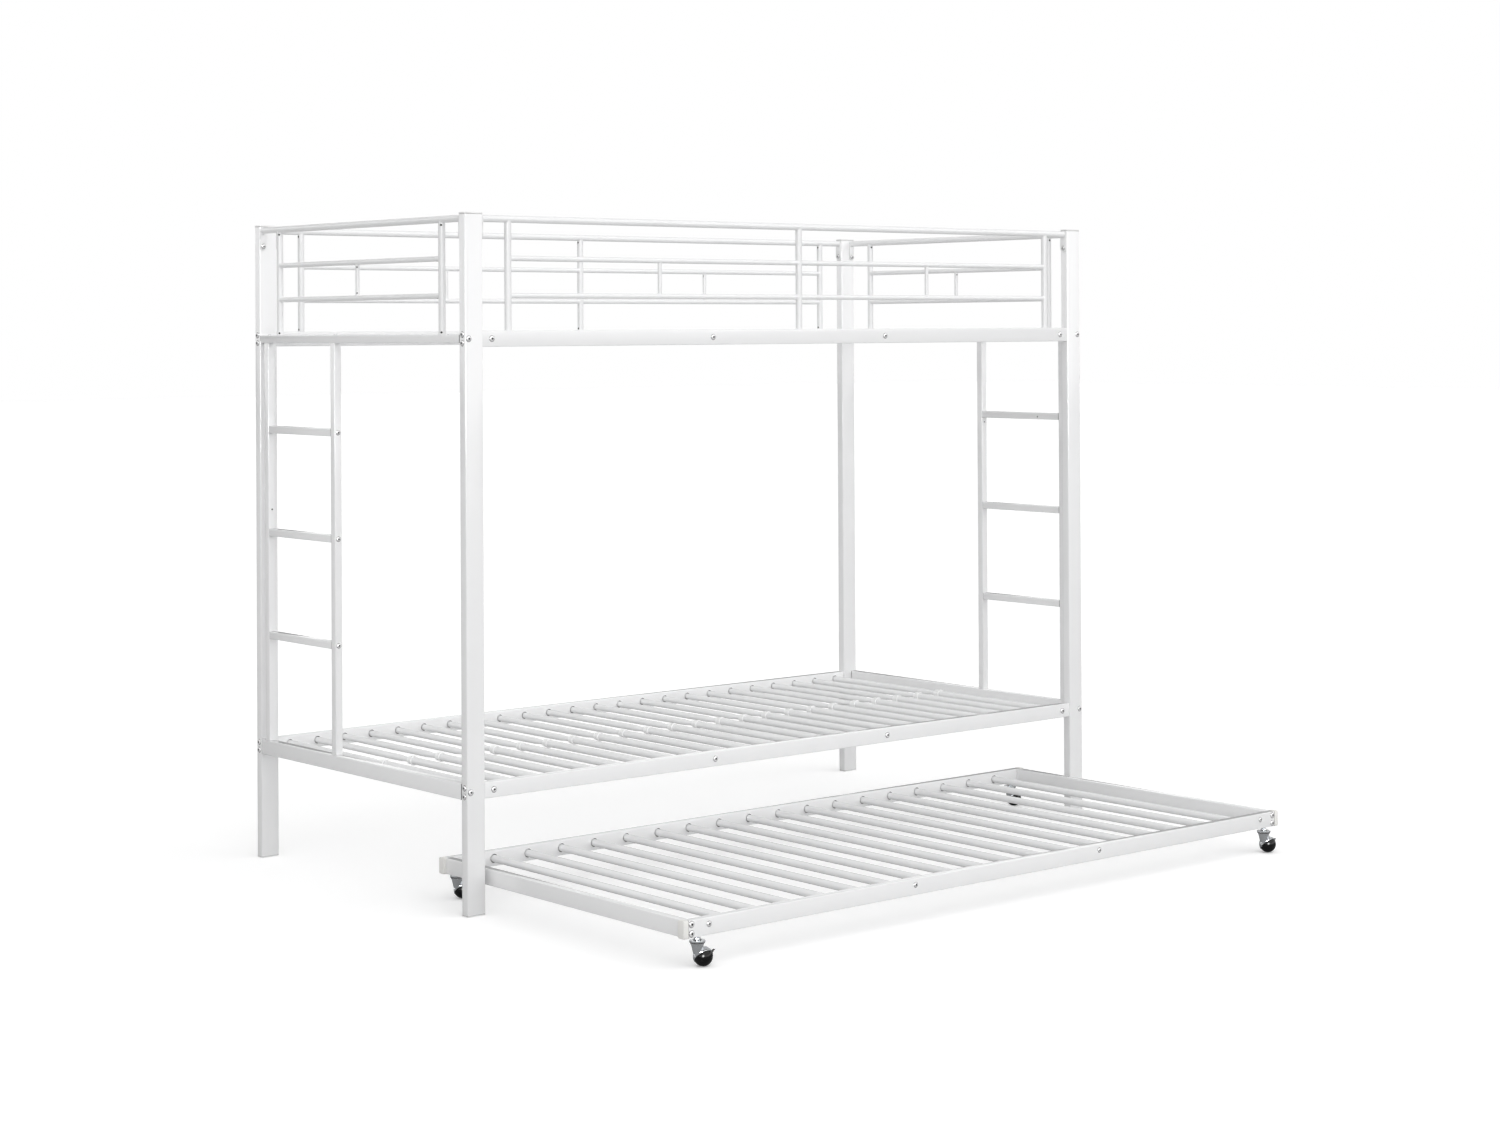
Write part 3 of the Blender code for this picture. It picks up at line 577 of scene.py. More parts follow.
def addRail(bm, reach, y, height, over=0, corner=rail["corner"], rim=0.0005):
    # a tube along X between two places, or a sleeve that stands over one
    low, high = sorted(reach)
    deep, tall = bed["deep"] / 2 + over, bed["tall"] / 2 + over
    addBar(bm, (low, y - deep, height - tall), (high, y + deep, height + tall), 0, corner, rim)


def drilledRail(long, xs, y, end, height, radius):
    # a rail with a blind hole for each slat in its inner face
    bm, holes = bmesh.new(), bmesh.new()
    addRail(bm, (-long, long), y, height)
    inner = y - end * bed["deep"] / 2
    for x in xs:
        start, last = (x, inner - end * rail["holeOver"], height), (x, inner + end * rail["holeDeep"], height)
        addTube(holes, start, last, radius + rail["hole"], 32)
    return cutFrom(bm, holes)


def makeSideRail(deckName, endName):
    end, height, y = ends[endName], decks[deckName], bed[endName]
    long, halfDeep = bed["postInner"] - bed["seat"], bed["deep"] / 2
    inner = y - end * halfDeep
    radius = slat["frontRadius"] if end < 0 else slat["backRadius"]
    name = titled(deckName, endName)
    bm = drilledRail(long, slatPlaces(), y, end, height, radius)
    piece(f"rail{name}", bm, "bed", ["coat", "steelAndShade"], [f"{deckName}_rail_{endName}"])
    slats = bmesh.new()
    for x in slatPlaces():
        start = Vector((x, inner + end * slat["entry"], height))
        if end < 0:
            addTube(slats, start, (x, bed["middle"], height), radius)
        else:
            reach = abs(start.y - bed["middle"])
            addTurned(slats, looking(start, (0, -1, 0)), neckProfile(reach), 28)
    piece(f"slats{name}", slats, "bed", ["coat"])
    bolts = bmesh.new()
    for x in rail["panelBolts"]:
        for side in sides.values():
            addBolt(bolts, (side * x, y + end * halfDeep, height), (0, end, 0), buttonBolt)
    piece(f"railBolts{name}", bolts, "bed", ["zinc", "steelAndShade"])


def makeFerrules(deckName):
    bm = bmesh.new()
    for x in slatPlaces():
        place = looking((x, bed["middle"] - ferrule["inFront"], decks[deckName]), (0, 1, 0))
        addTurned(bm, place, ferrule["outline"], 28)
        # a dark band behind each ferrule's lip, painted shade
        ring = bmesh.new()
        addTurned(ring, Matrix(), ferrule["ring"], 20)
        addDark(bm, ring, place)
    piece(f"ferrules{deckName.capitalize()}", bm, "bed", ["milk", "steelAndShade"])


for deckName in decks:
    for endName in ends:
        makeSideRail(deckName, endName)
    makeFerrules(deckName)
print("decks laid")

# End rails and the ladders between them
endRail = {"lowerTall": 0.038, "upperTall": 0.020, "long": 0.9196, "joint": 0.0012, "jointIn": 0.0012}
ladder = {
    "across": 0.020, "near": 0.429, "far": 0.104, "from": 0.3083, "to": 1.3327, "corner": 0.0018, "seat": 0.0003,
    "rung": 0.019, "rungs": {"low": 0.580, "middle": 0.845, "high": 1.110},
    "joint": 0.0007, "jointIn": 0.0010, "vent": 0.0021, "drill": (1.2, 0.2), "rungVentLow": 0.002,
    "stileVents": {("left", "outer"): 0.904, ("right", "inner"): 1.088}, "rungVents": {("right", "high"): 0.337},
}


def makeEndRail(deckName, sideName):
    x = sides[sideName] * bed["endX"]
    half = endRail[f"{deckName}Tall"] / 2
    joint, height = endRail["joint"], decks[deckName]
    y = endRail["long"] / 2 - joint
    bm = bmesh.new()
    low = (x - bed["deep"] / 2, bed["middle"] - y, height - half)
    addBar(bm, low, (x + bed["deep"] / 2, bed["middle"] + y, height + half), 1, rail["corner"])
    # a thin dark slab at each end of the rail: a painted shadow in its joint
    for end in ends.values():
        size = (bed["deep"] - endRail["jointIn"], joint, 2 * half - endRail["jointIn"])
        addShadowSlab(bm, (x, bed["middle"] + end * (y + joint / 2), height), size)
    name = titled(deckName, sideName)
    piece(f"endRail{name}", bm, "bed", ["coat", "steelAndShade"], [f"{deckName}_end_rail_{sideName}"])


def drillVent(bm, heart, outward, reach):
    # the tube with a small hole in the wall that lies reach away from its heart
    start, end = (Vector(heart) + Vector(outward) * reach * share for share in ladder["drill"])
    drill = bmesh.new()
    addTube(drill, start, end, ladder["vent"], 12)
    return cutFrom(bm, drill)


def makeLadder(sideName):
    side = sides[sideName]
    x = side * bed["endX"]
    half = ladder["across"] / 2
    fixings = bmesh.new()
    name = sideName.capitalize()
    for stileName, offset, away in (("outer", ladder["near"], 1), ("inner", ladder["far"], -1)):
        y = bed["middle"] - side * offset
        bm = bmesh.new()
        addBar(bm, (x - half, y - half, ladder["from"]), (x + half, y + half, ladder["to"]), 2, ladder["corner"])
        if (sideName, stileName) in ladder["stileVents"]:
            bm = drillVent(bm, (x, y, ladder["stileVents"][sideName, stileName]), (0, -1, 0), half)
        node = f"ladder_{sideName}_{stileName}_stile"
        piece(f"stile{name}{stileName.capitalize()}", bm, "bed", ["coat", "steelAndShade"], [node])
        for height in ladder["rungs"].values():
            addBolt(fixings, (x, y - side * away * half, height), (0, -side * away, 0), smallBolt)
        addBolt(fixings, (x, y, bed["high"] + endRail["upperTall"] / 2), (0, 0, 1), domedScrew)
        addBolt(fixings, (x, y, bed["low"] - endRail["lowerTall"] / 2), (0, 0, -1), domedScrew)
    near = ladder["near"] - half - ladder["seat"]
    far = ladder["far"] + half + ladder["seat"]
    ys = sorted((bed["middle"] - side * near, bed["middle"] - side * far))
    thick = ladder["rung"] / 2
    for rungName, height in ladder["rungs"].items():
        bm = bmesh.new()
        joint = ladder["joint"]
        low, high = (x - thick, ys[0] + joint, height - thick), (x + thick, ys[1] - joint, height + thick)
        addBar(bm, low, high, 1, ladder["corner"])
        if (sideName, rungName) in ladder["rungVents"]:
            y = bed["middle"] - side * ladder["rungVents"][sideName, rungName]
            bm = drillVent(bm, (x, y, height - ladder["rungVentLow"]), (-1, 0, 0), thick)
        # a thin dark slab at each end of the rung: a painted shadow where it meets the stile
        for y in (ys[0] + joint / 2, ys[1] - joint / 2):
            addShadowSlab(bm, (x, y, height), (2 * thick - ladder["jointIn"], joint, 2 * thick - ladder["jointIn"]))
        node = f"ladder_{sideName}_rung_{rungName}"
        piece(f"rung{name}{rungName.capitalize()}", bm, "bed", ["coat", "steelAndShade"], [node])
    piece(f"ladderBolts{name}", fixings, "bed", ["zinc", "steelAndShade"])


for sideName in sides:
    for deckName in decks:
        makeEndRail(deckName, sideName)
    makeLadder(sideName)
print("end rails and ladders fixed")

# Guards round the upper berth, welded of round tube
guard = {
    "top": 1.6245, "upper": 1.532, "lower": 1.444,
    "topRadius": 0.0085, "uprightRadius": 0.0082, "barRadius": 0.0065, "spindleRadius": 0.005,
    "tabThick": 0.003, "tabTall": 0.054, "tabFoot": 0.495, "tabRound": 0.0005, "tabGap": 0.0003, "tabWeld": 0.0010,
    "drill": (-0.3, 1.6), "vent": 0.0026, "ventLift": 0.005, "barVent": 0.0016, "barVentIn": 0.010, "barVentFall": -1.2,
    "spindleVent": 0.00192, "spindleVentIn": 0.012, "spindleWeld": 0.0009,
    "footGap": 0.0002, "footWeld": 0.0006, "footWeldUp": 0.0008,
}
longRun = {
    "along": (1, 0, 0), "half": bed["postInner"], "uprights": (-0.910, 0, 0.910), "spindles": (-0.455, 0.455),
    "foot": 1.362, "tab": 0.022,
}
shortRun = {
    "along": (0, 1, 0), "half": 0.460, "uprights": (-0.374, 0.374), "spindles": (0,), "foot": 1.353, "tab": 0.018,
}
guardRuns = {
    "front": {**longRun, "centre": (0, bed["front"]), "ventWay": (1, -0.1, 0)},
    "back": {**longRun, "centre": (0, bed["back"]), "ventWay": (-1, -0.1, 0)},
    "left": {**shortRun, "centre": (-bed["endX"], bed["middle"]), "ventWay": (-0.7, -0.7, 0)},
    "right": {**shortRun, "centre": (bed["endX"], bed["middle"]), "ventWay": (-0.2, -1, 0)},
}


def addVented(bm, start, end, radius, vents):
    # a round tube with small holes, each a place along it, a direction out of it and a radius
    tube, drills = bmesh.new(), bmesh.new()
    addTube(tube, start, end, radius)
    for distance, outward, wide in vents:
        heart = start + (end - start).normalized() * distance
        first, last = (heart + Vector(outward).normalized() * radius * share for share in guard["drill"])
        addTube(drills, first, last, wide, 16)
    addTo(bm, cutFrom(tube, drills))


def addTab(bm, crest, along, wide):
    # a flat tab that hangs from the rail's end against the post, with a round foot
    thick, tall = guard["tabThick"], guard["tabTall"]
    tab = bmesh.new()
    plate = Matrix.Translation((0, -tall / 2, 0)) @ Matrix.Diagonal((wide, tall, thick, 1))
    bmesh.ops.create_cube(tab, size=1, matrix=plate)
    lower = [edge for edge in tab.edges if max(vert.co.y for vert in edge.verts) < -tall * 0.9]
    lower = [edge for edge in lower if abs(edge.verts[0].co.z - edge.verts[1].co.z) > thick / 2]
    roundOff(tab, lower, wide * guard["tabFoot"], 14)
    roundOff(tab, rimsOf(tab, 2), guard["tabRound"], 2)
    up = Vector((0, 0, 1))
    addTo(bm, tab, axes(up.cross(along), up, along, crest))


def makeGuard(runName, run):
    along, up, ventWay, uprights = Vector(run["along"]), Vector((0, 0, 1)), run["ventWay"], run["uprights"]
    top, upper, lower = guard["top"], guard["upper"], guard["lower"]
    topRadius, upRadius, barRadius = guard["topRadius"], guard["uprightRadius"], guard["barRadius"]

    def at(distance, height):
        return Vector((*run["centre"], height)) + along * distance

    bm = bmesh.new()
    tabAt = run["half"] - guard["tabGap"] - guard["tabThick"] / 2
    addTube(bm, at(-tabAt, top), at(tabAt, top), topRadius)
    for distance in uprights:
        foot, crown = at(distance, run["foot"] + guard["footGap"]), at(distance, top)
        places = (guard["ventLift"], crown.z - foot.z - topRadius - guard["ventLift"])
        addVented(bm, foot, crown, upRadius, [(place, ventWay, guard["vent"]) for place in places])
        addWeld(bm, at(distance, top - topRadius), (0, 0, -1), upRadius, topRadius, along)
        bead = at(distance, run["foot"] + guard["footWeldUp"])
        addWeld(bm, bead, (0, 0, 1), upRadius - guard["footGap"], 0.0, along, guard["footWeld"])
    for height in (lower, upper):
        for first, last in zip(uprights, uprights[1:]):
            vents = [(upRadius + guard["barVentIn"], (*ventWay[:2], guard["barVentFall"]), guard["barVent"])]
            addVented(bm, at(first, height), at(last, height), barRadius, vents)
            addWeld(bm, at(first + upRadius, height), along, barRadius, upRadius, up)
            addWeld(bm, at(last - upRadius, height), -along, barRadius, upRadius, up)
    for distance in run["spindles"]:
        places = (guard["spindleVentIn"], upper - lower - guard["spindleVentIn"])
        vents = [(place, ventWay, guard["spindleVent"]) for place in places]
        radius, bead = guard["spindleRadius"], guard["spindleWeld"]
        addVented(bm, at(distance, lower), at(distance, upper), radius, vents)
        addWeld(bm, at(distance, lower + barRadius), up, radius, barRadius, along, bead)
        addWeld(bm, at(distance, upper - barRadius), -up, radius, barRadius, along, bead)
    bolts = bmesh.new()
    for side in (-1, 1):
        addTab(bm, at(side * tabAt, top + topRadius / 2), along * side, run["tab"])
        inner = side * (tabAt - guard["tabThick"] / 2)
        addWeld(bm, at(inner, top), -along * side, topRadius, 0.0, up, guard["tabWeld"])
        boltHeight = top + topRadius / 2 - guard["tabTall"] + run["tab"] / 2
        addBolt(bolts, at(inner, boltHeight), -along * side, smallBolt)
    piece(f"guard{runName.capitalize()}", bm, "bed", ["coat", "steelAndShade"], [f"guard_{runName}"])
    piece(f"guardBolts{runName.capitalize()}", bolts, "bed", ["zinc", "steelAndShade"])


for runName, run in guardRuns.items():
    makeGuard(runName, run)
print("guards welded")

# The trundle: two long rails, nineteen slats and two end rails
trundle = {
    "middle": -0.38075, "railY": 0.4575, "halfLong": 0.9822, "height": 0.086, "endX": 0.9702, "gap": 0.0003,
    "slats": 19, "firstSlat": -0.9422, "pitch": 0.1006, "slatRadius": 0.009, "slatEntry": 0.004,
    "boltLifts": (-0.010, 0.010), "cornerBolts": 0.9652, "panelBolts": (0.917, 0.308), "panelLift": 0.0045,
    "cap": 0.0045, "capOver": 0.0008, "capLong": 0.0135, "capCorner": 0.004, "capRound": 0.0014,
    "joint": 0.0004, "jointIn": 0.0002, "jointOver": 0.0002, "jointRound": 0.0001,
}


def trundleSlatPlaces():
    return [trundle["firstSlat"] + trundle["pitch"] * n for n in range(trundle["slats"])]


def makeTrundleRail(endName):
    end = ends[endName]
    y = trundle["middle"] + end * trundle["railY"]
    long, height, outer = trundle["halfLong"], trundle["height"], y + end * bed["deep"] / 2
    name = endName.capitalize()
    bm = drilledRail(long, trundleSlatPlaces(), y, end, height, trundle["slatRadius"])
    piece(f"trundleRail{name}", bm, "trundle", ["coat", "steelAndShade"], [f"trundle_rail_{endName}"])
    bolts = bmesh.new()
    for side in sides.values():
        for lift in trundle["boltLifts"]:
            addBolt(bolts, (side * trundle["cornerBolts"], outer, height + lift), (0, end, 0), buttonBolt)
        for x in trundle["panelBolts"]:
            addBolt(bolts, (side * x, outer, height + trundle["panelLift"]), (0, end, 0), smallBolt)
    piece(f"trundleBolts{name}", bolts, "trundle", ["zinc", "steelAndShade"])


def makeTrundleSlats():
    bm = bmesh.new()
    middle, height = trundle["middle"], trundle["height"]
    reach = trundle["railY"] - bed["deep"] / 2 + trundle["slatEntry"]
    for x in trundleSlatPlaces():
        addTube(bm, (x, middle - reach, height), (x, middle + reach, height), trundle["slatRadius"])
    piece("trundleSlats", bm, "trundle", ["coat"])


def makeTrundleEnd(sideName):
    side, x, middle, height = sides[sideName], sides[sideName] * trundle["endX"], trundle["middle"], trundle["height"]
    half, tall = bed["deep"] / 2, bed["tall"] / 2
    reach = trundle["railY"] - half - trundle["gap"]
    bm = bmesh.new()
    low, high = (x - half, middle - reach, height - tall), (x + half, middle + reach, height + tall)
    addBar(bm, low, high, 1, rail["corner"])
    piece(f"trundleEndRail{sideName.capitalize()}", bm, "trundle", ["coat"], [f"trundle_end_rail_{sideName}"])
    tip = trundle["halfLong"] + trundle["gap"] + trundle["cap"]
    mouth = tip - trundle["capLong"]
    joint = (side * (mouth - trundle["joint"]), side * (mouth + trundle["jointIn"]))
    for endName, end in ends.items():
        y = middle + end * trundle["railY"]
        lid, seam = bmesh.new(), bmesh.new()
        sleeve = (side * mouth, side * tip)
        addRail(lid, sleeve, y, height, trundle["capOver"], trundle["capCorner"], trundle["capRound"])
        # a thin dark sleeve at the cap's mouth: a painted shadow in its joint with the rail
        addRail(seam, joint, y, height, trundle["jointOver"], rim=trundle["jointRound"])
        addDark(lid, seam)
        name = titled(endName, sideName)
        piece(f"trundleCap{name}", lid, "trundle", ["ivory", "steelAndShade"], [f"trundle_cap_{endName}_{sideName}"])


for endName in ends:
    makeTrundleRail(endName)
makeTrundleSlats()
for sideName in sides:
    makeTrundleEnd(sideName)
print("trundle framed")

# Ball casters: stems with nut and flange, hoods with neck and axle, half balls
caster = {"x": 0.942, "trail": 0.016, "tilt": 45, "ballRadius": 0.021, "hoodRadius": 0.022, "hoodWall": 0.0015}
stem = {
    "flange": [
        (0.0425, 0), (0.0425, 0.003), (0.0545, 0.003), (0.0545, 0.0170), (0.0551, 0.0176), (0.0574, 0.0176),
        (0.0580, 0.0170), (0.0582, 0.0160), (0.0582, 0.0030), (0.0845, 0.0030), (0.0845, 0),
    ],
    # dark turned discs between the race and the flange and round the nut's foot: painted shade
    "gaps": (
        [(0.0527, 0), (0.0527, 0.0166), (0.0548, 0.0166), (0.0548, 0)],
        [(0.0579, 0), (0.0579, 0.0091), (0.0584, 0.0091), (0.0584, 0)],
    ),
    "radius": 0.004, "threadFrom": 0.0616, "threadTurns": 6, "threadPitch": 0.00125, "threadDeep": 0.0006,
    "nutRadius": 0.0078, "nutLow": 0.0579, "nutTop": 0.0636, "nutRound": 0.0006,
}
hood = {
    "bead": 0.0011, "beadUp": 0.0008,
    "boss": [(0.0228, 0), (0.0227, 0.0016), (0.0221, 0.0026), (0.0212, 0.0028), (0.0212, 0)],
    "axle": [(-0.0125, 0), (-0.0125, 0.0023), (0.0205, 0.0023), (0.0205, 0)],
    "race": [
        (0.0486, 0), (0.0486, 0.0138), (0.0494, 0.0148), (0.0500, 0.0150), (0.0522, 0.0150), (0.0527, 0.0145),
        (0.0527, 0),
    ],
    # sections of the neck: centre, width and depth
    "neck": [
        ((0, 0, 0.0500), 0.0137, 0.0137), ((0, 0, 0.0480), 0.0136, 0.0136), ((0.0001, 0, 0.0440), 0.0126, 0.0126),
        ((0.0003, 0.0002, 0.0380), 0.0112, 0.0112), ((0.0007, 0.0004, 0.0310), 0.0097, 0.0098),
        ((0.0012, 0.0004, 0.0240), 0.0084, 0.0088), ((0.0018, 0.0002, 0.0180), 0.0070, 0.0080),
        ((0.0024, 0, 0.0140), 0.0052, 0.0064), ((0.0030, 0, 0.0122), 0.0028, 0.0036),
    ],
    # widths and depths of a brake lug at its root, at the pin and at its tip
    "lug": [(0.0007, 0.0026), (0.0007, 0.0024), (0.0006, 0.0016)], "lugIn": 0.002, "lugOut": 0.0018, "lugY": 0.0035,
    "pinHalf": 0.0045, "pinRadius": 0.001,
    # a dark band just proud of the hood beside its bead: painted shade
    "shadeBand": (0.0019, 0.0034), "shadeBandArc": (5, 9, 3), "shadeBandProud": 0.00015,
}
wheel = {
    "bore": [(-0.013, 0), (-0.013, 0.0029), (-0.0008, 0.0029), (-0.0008, 0.0196), (-0.0010, 0.0205)],
    "gap": 0.0008, "edge": 2, "steps": 22,
}


def arcPoints(radius, first, last, steps):
    # points of a circle, angles counted from the equator
    angles = [math.radians(first + (last - first) * n / steps) for n in range(steps + 1)]
    return [(radius * math.sin(angle), radius * math.cos(angle)) for angle in angles]


def addThread(bm):
    # a helical thread: one tooth's profile spun and lifted
    pitch, crest, turns, steps = stem["threadPitch"], stem["radius"], stem["threadTurns"], 20
    root = crest - stem["threadDeep"]
    thread = bmesh.new()
    points = [thread.verts.new(place) for place in ((root, 0, 0), (crest, 0, pitch / 2), (root, 0, pitch))]
    edges = [thread.edges.new(pair) for pair in zip(points, points[1:])]
    bmesh.ops.spin(
        thread, geom=points + edges, cent=(0, 0, 0), axis=(0, 0, 1), angle=2 * math.pi * turns,
        steps=steps * turns, dvec=(0, 0, pitch / steps),
    )
    bmesh.ops.remove_doubles(thread, verts=thread.verts, dist=0.00001)
    addTo(bm, thread, Matrix.Translation((0, 0, stem["threadFrom"])))


def makeStem(place, corner, name):
    bm = bmesh.new()
    addTurned(bm, Matrix(), stem["flange"], 40)
    addThread(bm)
    low, top, radius = stem["nutLow"], stem["nutTop"], stem["nutRadius"]
    nut = bmesh.new()
    addCone(nut, radius, radius, top - low, 6)
    roundOff(nut, nut.edges, stem["nutRound"], 2)
    addTo(bm, nut, Matrix.Translation((0, 0, (low + top) / 2)))
    # painted shade: dark discs between the race and the flange and round the nut
    gaps = bmesh.new()
    for outline in stem["gaps"]:
        addTurned(gaps, Matrix(), outline, 32)
    addDark(bm, gaps)
    piece(f"casterStem{name}", bm, "trundle", ["chrome", "steelAndShade"], [f"caster_stem_{corner}"], place=place)


def ballAxle():
    # the middle of the ball, and a frame there whose +Z is the slanted axle
    heart = Vector((caster["trail"], 0, caster["ballRadius"]))
    return heart, Matrix.Translation(heart) @ Matrix.Rotation(-math.radians(caster["tilt"]), 4, "X")


def addLugs(bm, heart):
    # two lugs on the hood and the pin between them that carries the brake lever
    pivot = leverPlace()
    outward = (pivot - heart).normalized()
    lugs = bmesh.new()
    for side in (-1, 1):
        aside = Vector((0, side * hood["lugY"], 0))
        root = heart + outward * (caster["hoodRadius"] - hood["lugIn"])
        sections = zip((root, pivot, pivot + outward * hood["lugOut"]), hood["lug"])
        addLoft(lugs, [(looking(point + aside, outward), *size) for point, size in sections], 16)
    reach = Vector((0, hood["pinHalf"], 0))
    addTube(lugs, pivot - reach, pivot + reach, hood["pinRadius"], 16)
    addDark(bm, lugs)


def makeHood(place, corner, name, braked):
    heart, axle = ballAxle()
    outer, wall, bead = caster["hoodRadius"], caster["hoodWall"], hood["bead"]
    rim = outer - wall / 2
    bm = bmesh.new()
    addTurned(bm, axle, [*reversed(arcPoints(outer, 0, 90, 16)), *arcPoints(outer - wall, 0, 90, 12)], 48)
    turns = [n * math.pi / 5 for n in range(11)]
    roll = [(hood["beadUp"] + bead * math.sin(turn), rim + bead * math.cos(turn)) for turn in turns]
    addTurned(bm, axle, roll, 48)
    addTurned(bm, axle, hood["boss"], 20)
    addTurned(bm, axle, hood["axle"], 20)
    neck = bmesh.new()
    addLoft(neck, [(Matrix.Translation(centre), wide, deep) for centre, wide, deep in hood["neck"]], 32)
    bmesh.ops.recalc_face_normals(neck, faces=neck.faces)
    parted = bmesh.ops.bisect_plane(
        neck, geom=[*neck.verts, *neck.edges, *neck.faces], plane_co=heart,
        plane_no=axle.to_3x3() @ Vector((0, 0, -1)), clear_outer=True,
    )
    rims = [item for item in parted["geom_cut"] if isinstance(item, bmesh.types.BMEdge)]
    bmesh.ops.holes_fill(neck, edges=rims)
    addTo(bm, neck)
    addTurned(bm, Matrix(), hood["race"], 40)
    if braked:
        addLugs(bm, heart)
    # a dark band just proud of the hood beside its bead, painted shade
    low, high = hood["shadeBand"]
    floor = rim - wall
    shadeBand = bmesh.new()
    arc = arcPoints(outer + hood["shadeBandProud"], *hood["shadeBandArc"])
    addTurned(shadeBand, axle, [(low, floor), *arc, (high, floor)], 48)
    addDark(bm, shadeBand)
    piece(f"casterHood{name}", bm, f"swivel_{corner}", ["chrome", "steelAndShade"], [f"caster_hood_{corner}"], 32, place)


def makeBall(place, corner, name):
    axle, radius = ballAxle()[1], caster["ballRadius"]
    first = -math.degrees(math.asin(wheel["gap"] / radius)) - wheel["edge"]
    bm = bmesh.new()
    addTurned(bm, axle, [*wheel["bore"], *arcPoints(radius, first, -90, wheel["steps"])], 56)
    piece(f"casterBall{name}", bm, f"wheel_{corner}", ["ball"], [f"caster_wheel_{corner}"], place=place)


# The front casters' brake levers
brake = {
    "pivotAngle": 18, "clear": 0.0006, "barrel": 0.0022, "half": 0.0025, "sideGap": 0.0003, "round": 0.0005,
    "armThick": 0.0024, "arm": 0.0072, "armRise": 20, "shankThick": 0.0016, "shank": 0.0110, "shankSplay": 9,
    "toe": 0.0022,
}


def leverPlace():
    reach = caster["hoodRadius"] + brake["barrel"] + brake["clear"]
    turn = math.radians(brake["pivotAngle"])
    return Vector((caster["trail"] + reach * math.cos(turn), 0, caster["ballRadius"] + reach * math.sin(turn)))


def makeLever(place, corner, name):
    bm = bmesh.new()
    addTube(bm, (0, -brake["half"], 0), (0, brake["half"], 0), brake["barrel"], 24)
    rise, splay = math.radians(brake["armRise"]), math.radians(brake["shankSplay"])
    heel = Vector((brake["shank"] * math.sin(splay), 0, -brake["shank"] * math.cos(splay)))
    tip = Vector((math.cos(rise), 0, math.sin(rise))) * brake["arm"]
    wide = brake["half"] - brake["sideGap"]
    pivot, toe = Vector((0, 0, 0)), heel - Vector((brake["toe"], 0, 0))
    blades = ((pivot, tip, brake["armThick"]), (pivot, heel, brake["shankThick"]), (heel, toe, brake["shankThick"]))
    for start, end, thick in blades:
        thin = thick / 2
        blade = bmesh.new()
        long = (end - start).length
        size = Matrix.Diagonal((2 * wide, 2 * thin, long + thin, 1))
        bmesh.ops.create_cube(blade, size=1, matrix=Matrix.Translation((0, 0, long / 2)) @ size)
        roundOff(blade, blade.edges, brake["round"], 3)
        way = (end - start).normalized()
        addTo(bm, blade, axes((0, 1, 0), (way.z, 0, -way.x), way, start))
    spot = Vector(place) + leverPlace()
    piece(f"brakeLever{name}", bm, f"brake_{corner}", ["lever"], [f"brake_lever_{corner}"], place=spot)


for endName, end in ends.items():
    for sideName, side in sides.items():
        corner = f"{endName}_{sideName}"
        name = titled(endName, sideName)
        place = (side * caster["x"], trundle["middle"] + end * trundle["railY"], 0)
        makeStem(place, corner, name)
        makeHood(place, corner, name, end < 0)
        makeBall(place, corner, name)
        if end < 0:
            makeLever(place, corner, name)
print("casters fitted")

# Studio: a pale floor, soft light from the front and above, the camera where the photograph was taken from
studio = {
    "floorSize": 90, "floor": 0.985, "floorCloud": 0.6, "cloudRise": 0.01,
    "lift": 0.15, "bounce": 0.66, "mirrored": 0.34,
    "lamp": 1.0, "lampWide": 90, "lampFrom": (0.15, -0.80, 0.7),
    "glint": 3.6, "glintWide": 24, "glintFrom": (-0.62, -0.80, 0.26),
    "brightSide": (-0.45, -0.95, 0), "sideShare": 0.17, "domeStrength": 1.66,
    "dome": [
        (0, 0.36), (0.02, 0.02), (0.085, 0.03), (0.12, 1.10), (0.36, 1.12), (0.40, 0.08), (0.48, 0.08), (0.53, 0.75),
        (1, 0.34),
    ],
    "eye": (-4.5412, -5.3018, 1.3587), "yaw": 0.6995, "pitch": -0.0062, "roll": -0.0054,
    "focal": 2681.1, "imageWide": 1500, "imageTall": 1125, "heartY": 313.9, "sensor": 36,
}


def makeFloor():
    bm = bmesh.new()
    bmesh.ops.create_grid(bm, x_segments=2, y_segments=2, size=studio["floorSize"] / 2)
    data = meshOf("studioFloor", bm)
    made = Finish("studioFloor", {
        "Roughness": 0.9, "Specular IOR Level": 0.1,
        "Emission Color": (1, 1, 1, 1), "Emission Strength": studio["lift"],
    })
    pale, paler = ((tone,) * 3 for tone in (studio["floor"], studio["floor"] + studio["cloudRise"]))
    made.feed("Base Color", made.mix(made.noise(studio["floorCloud"], 2), pale, paler))
    # white to the eye, with a little light of its own that thins the shadows, greyer to the tubes above it,
    # so that their undersides stay darker, and dark in the chrome
    shown = Strand(made, made.shader.outputs[0])
    for dull, ray in ((studio["bounce"], "Is Diffuse Ray"), (studio["mirrored"], "Is Glossy Ray")):
        grey = made.node("ShaderNodeBsdfDiffuse", {}, {"Color": (dull, dull, dull, 1)})
        seen = made.node("ShaderNodeLightPath", {}, {}, ray)
        shown = made.node("ShaderNodeMixShader", {}, {0: seen, 1: shown, 2: grey})
    made.plug(made.tree.nodes["Material Output"].inputs["Surface"], shown)
    data.materials.append(made.material)
    setUp("studioFloor", data)


def addLamp(name, strength, wide, source):
    data = bpy.data.lights.new(name, "SUN")
    data.energy = strength
    data.angle = math.radians(wide)
    made = setUp(name, data)
    made.matrix_world = looking((0, 0, 0), source)
    return made


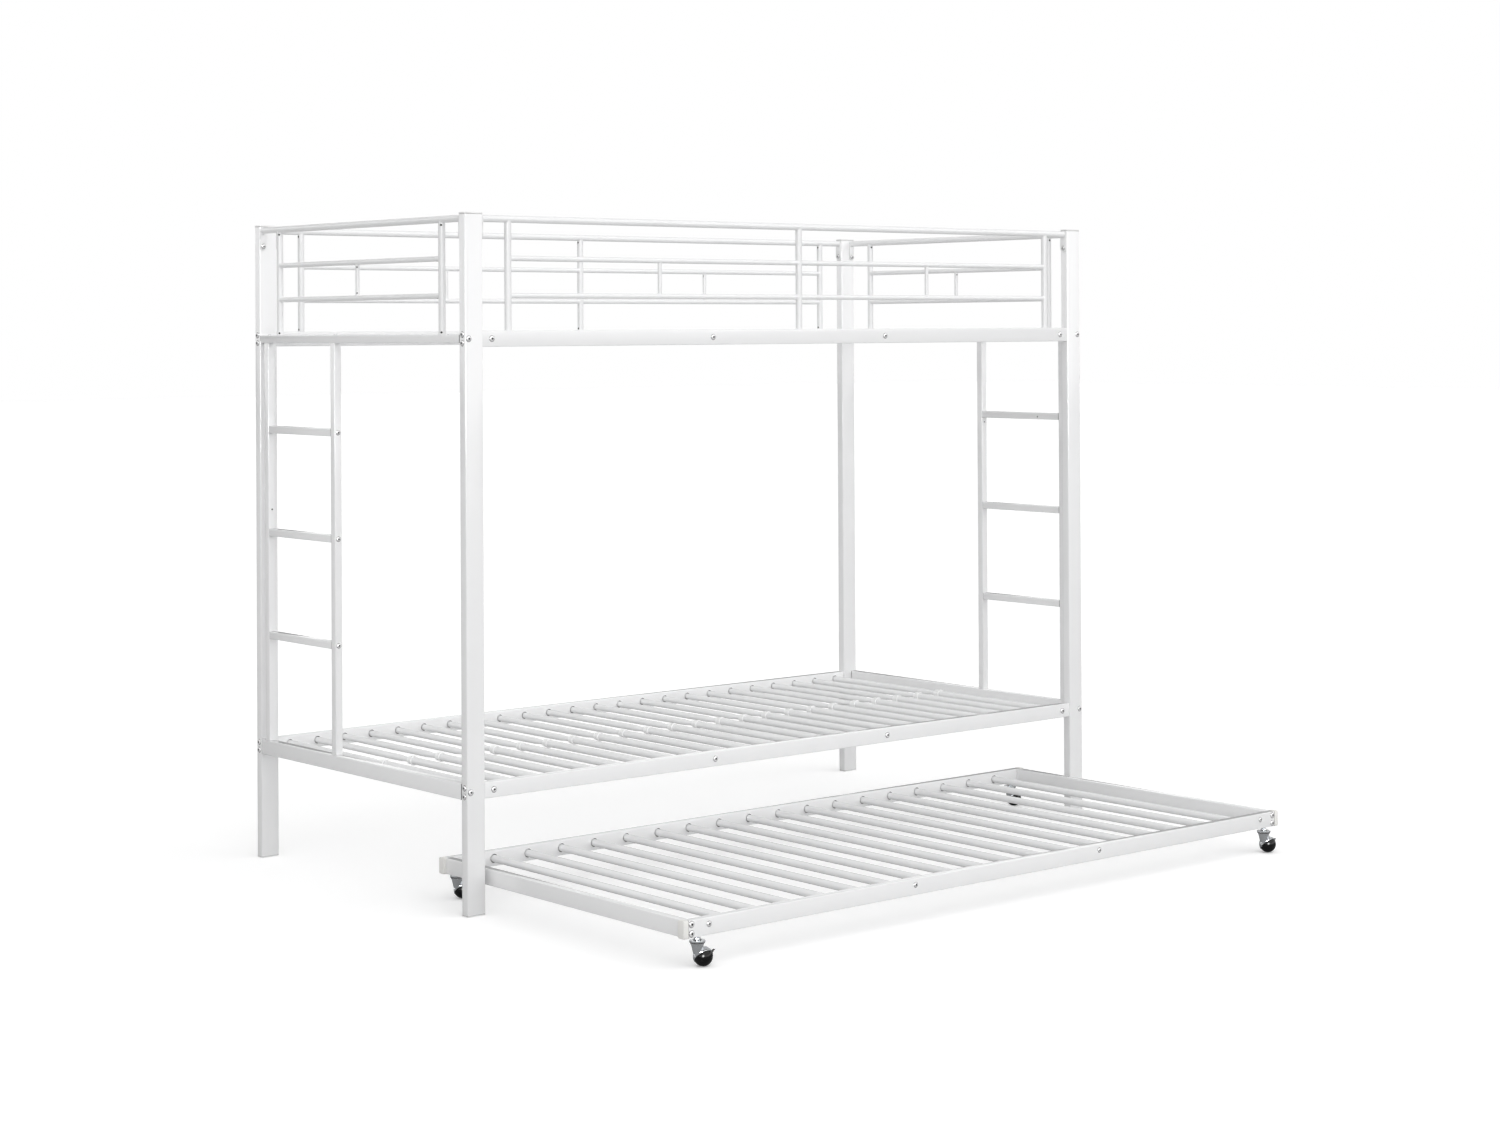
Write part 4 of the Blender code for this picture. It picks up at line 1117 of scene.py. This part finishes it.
def softSun():
    # a wide lamp so soft that it hardly throws a shadow, and a narrower one that only shows in polished things
    addLamp("wideLamp", studio["lamp"], studio["lampWide"], studio["lampFrom"])
    glint = addLamp("glintLamp", studio["glint"], studio["glintWide"], studio["glintFrom"])
    glint.visible_diffuse = False


def makeSky():
    # white to the eye, but its light comes more from the front and left and has two dark bands for the metal
    world = bpy.data.worlds.new("studioSky")
    bpy.context.scene.world = world
    world.use_nodes = True
    sky = Recipe(world.node_tree)
    way = sky.node("ShaderNodeTexCoord", {}, {}, "Generated")
    height, side = (
        sky.node("ShaderNodeVectorMath", {"operation": "DOT_PRODUCT"}, {0: way, 1: axis}, "Value")
        for axis in ((0, 0, 1), studio["brightSide"])
    )
    dome = sky.node("ShaderNodeValToRGB", {"stops": studio["dome"]}, {"Fac": height}, "Color")
    glow = dome * studio["domeStrength"] + side * studio["sideShare"]
    light = sky.node("ShaderNodeBackground", {}, {"Strength": glow})
    white = sky.node("ShaderNodeBackground", {}, {"Color": (1, 1, 1, 1), "Strength": 1})
    seen = sky.node("ShaderNodeLightPath", {}, {}, "Is Camera Ray")
    both = sky.node("ShaderNodeMixShader", {}, {0: seen, 1: light, 2: white})
    sky.plug(sky.tree.nodes["World Output"].inputs["Surface"], both)


def makeCamera():
    yaw, pitch = studio["yaw"], studio["pitch"]
    ahead = Vector((math.sin(yaw) * math.cos(pitch), math.cos(yaw) * math.cos(pitch), -math.sin(pitch)))
    right = Vector((math.cos(yaw), -math.sin(yaw), 0))
    up = right.cross(ahead)
    data = bpy.data.cameras.new("studioCamera")
    data.sensor_fit = "HORIZONTAL"
    data.sensor_width = studio["sensor"]
    data.lens = studio["sensor"] * studio["focal"] / studio["imageWide"]
    data.shift_y = (studio["heartY"] - studio["imageTall"] / 2) / studio["imageWide"]
    made = setUp("studioCamera", data)
    made.matrix_world = axes(right, up, -ahead, studio["eye"]) @ Matrix.Rotation(studio["roll"], 4, "Z")
    bpy.context.scene.camera = made


makeFloor()
softSun()
makeSky()
makeCamera()
bpy.context.scene.view_settings.view_transform = "Standard"
print("studio lit")
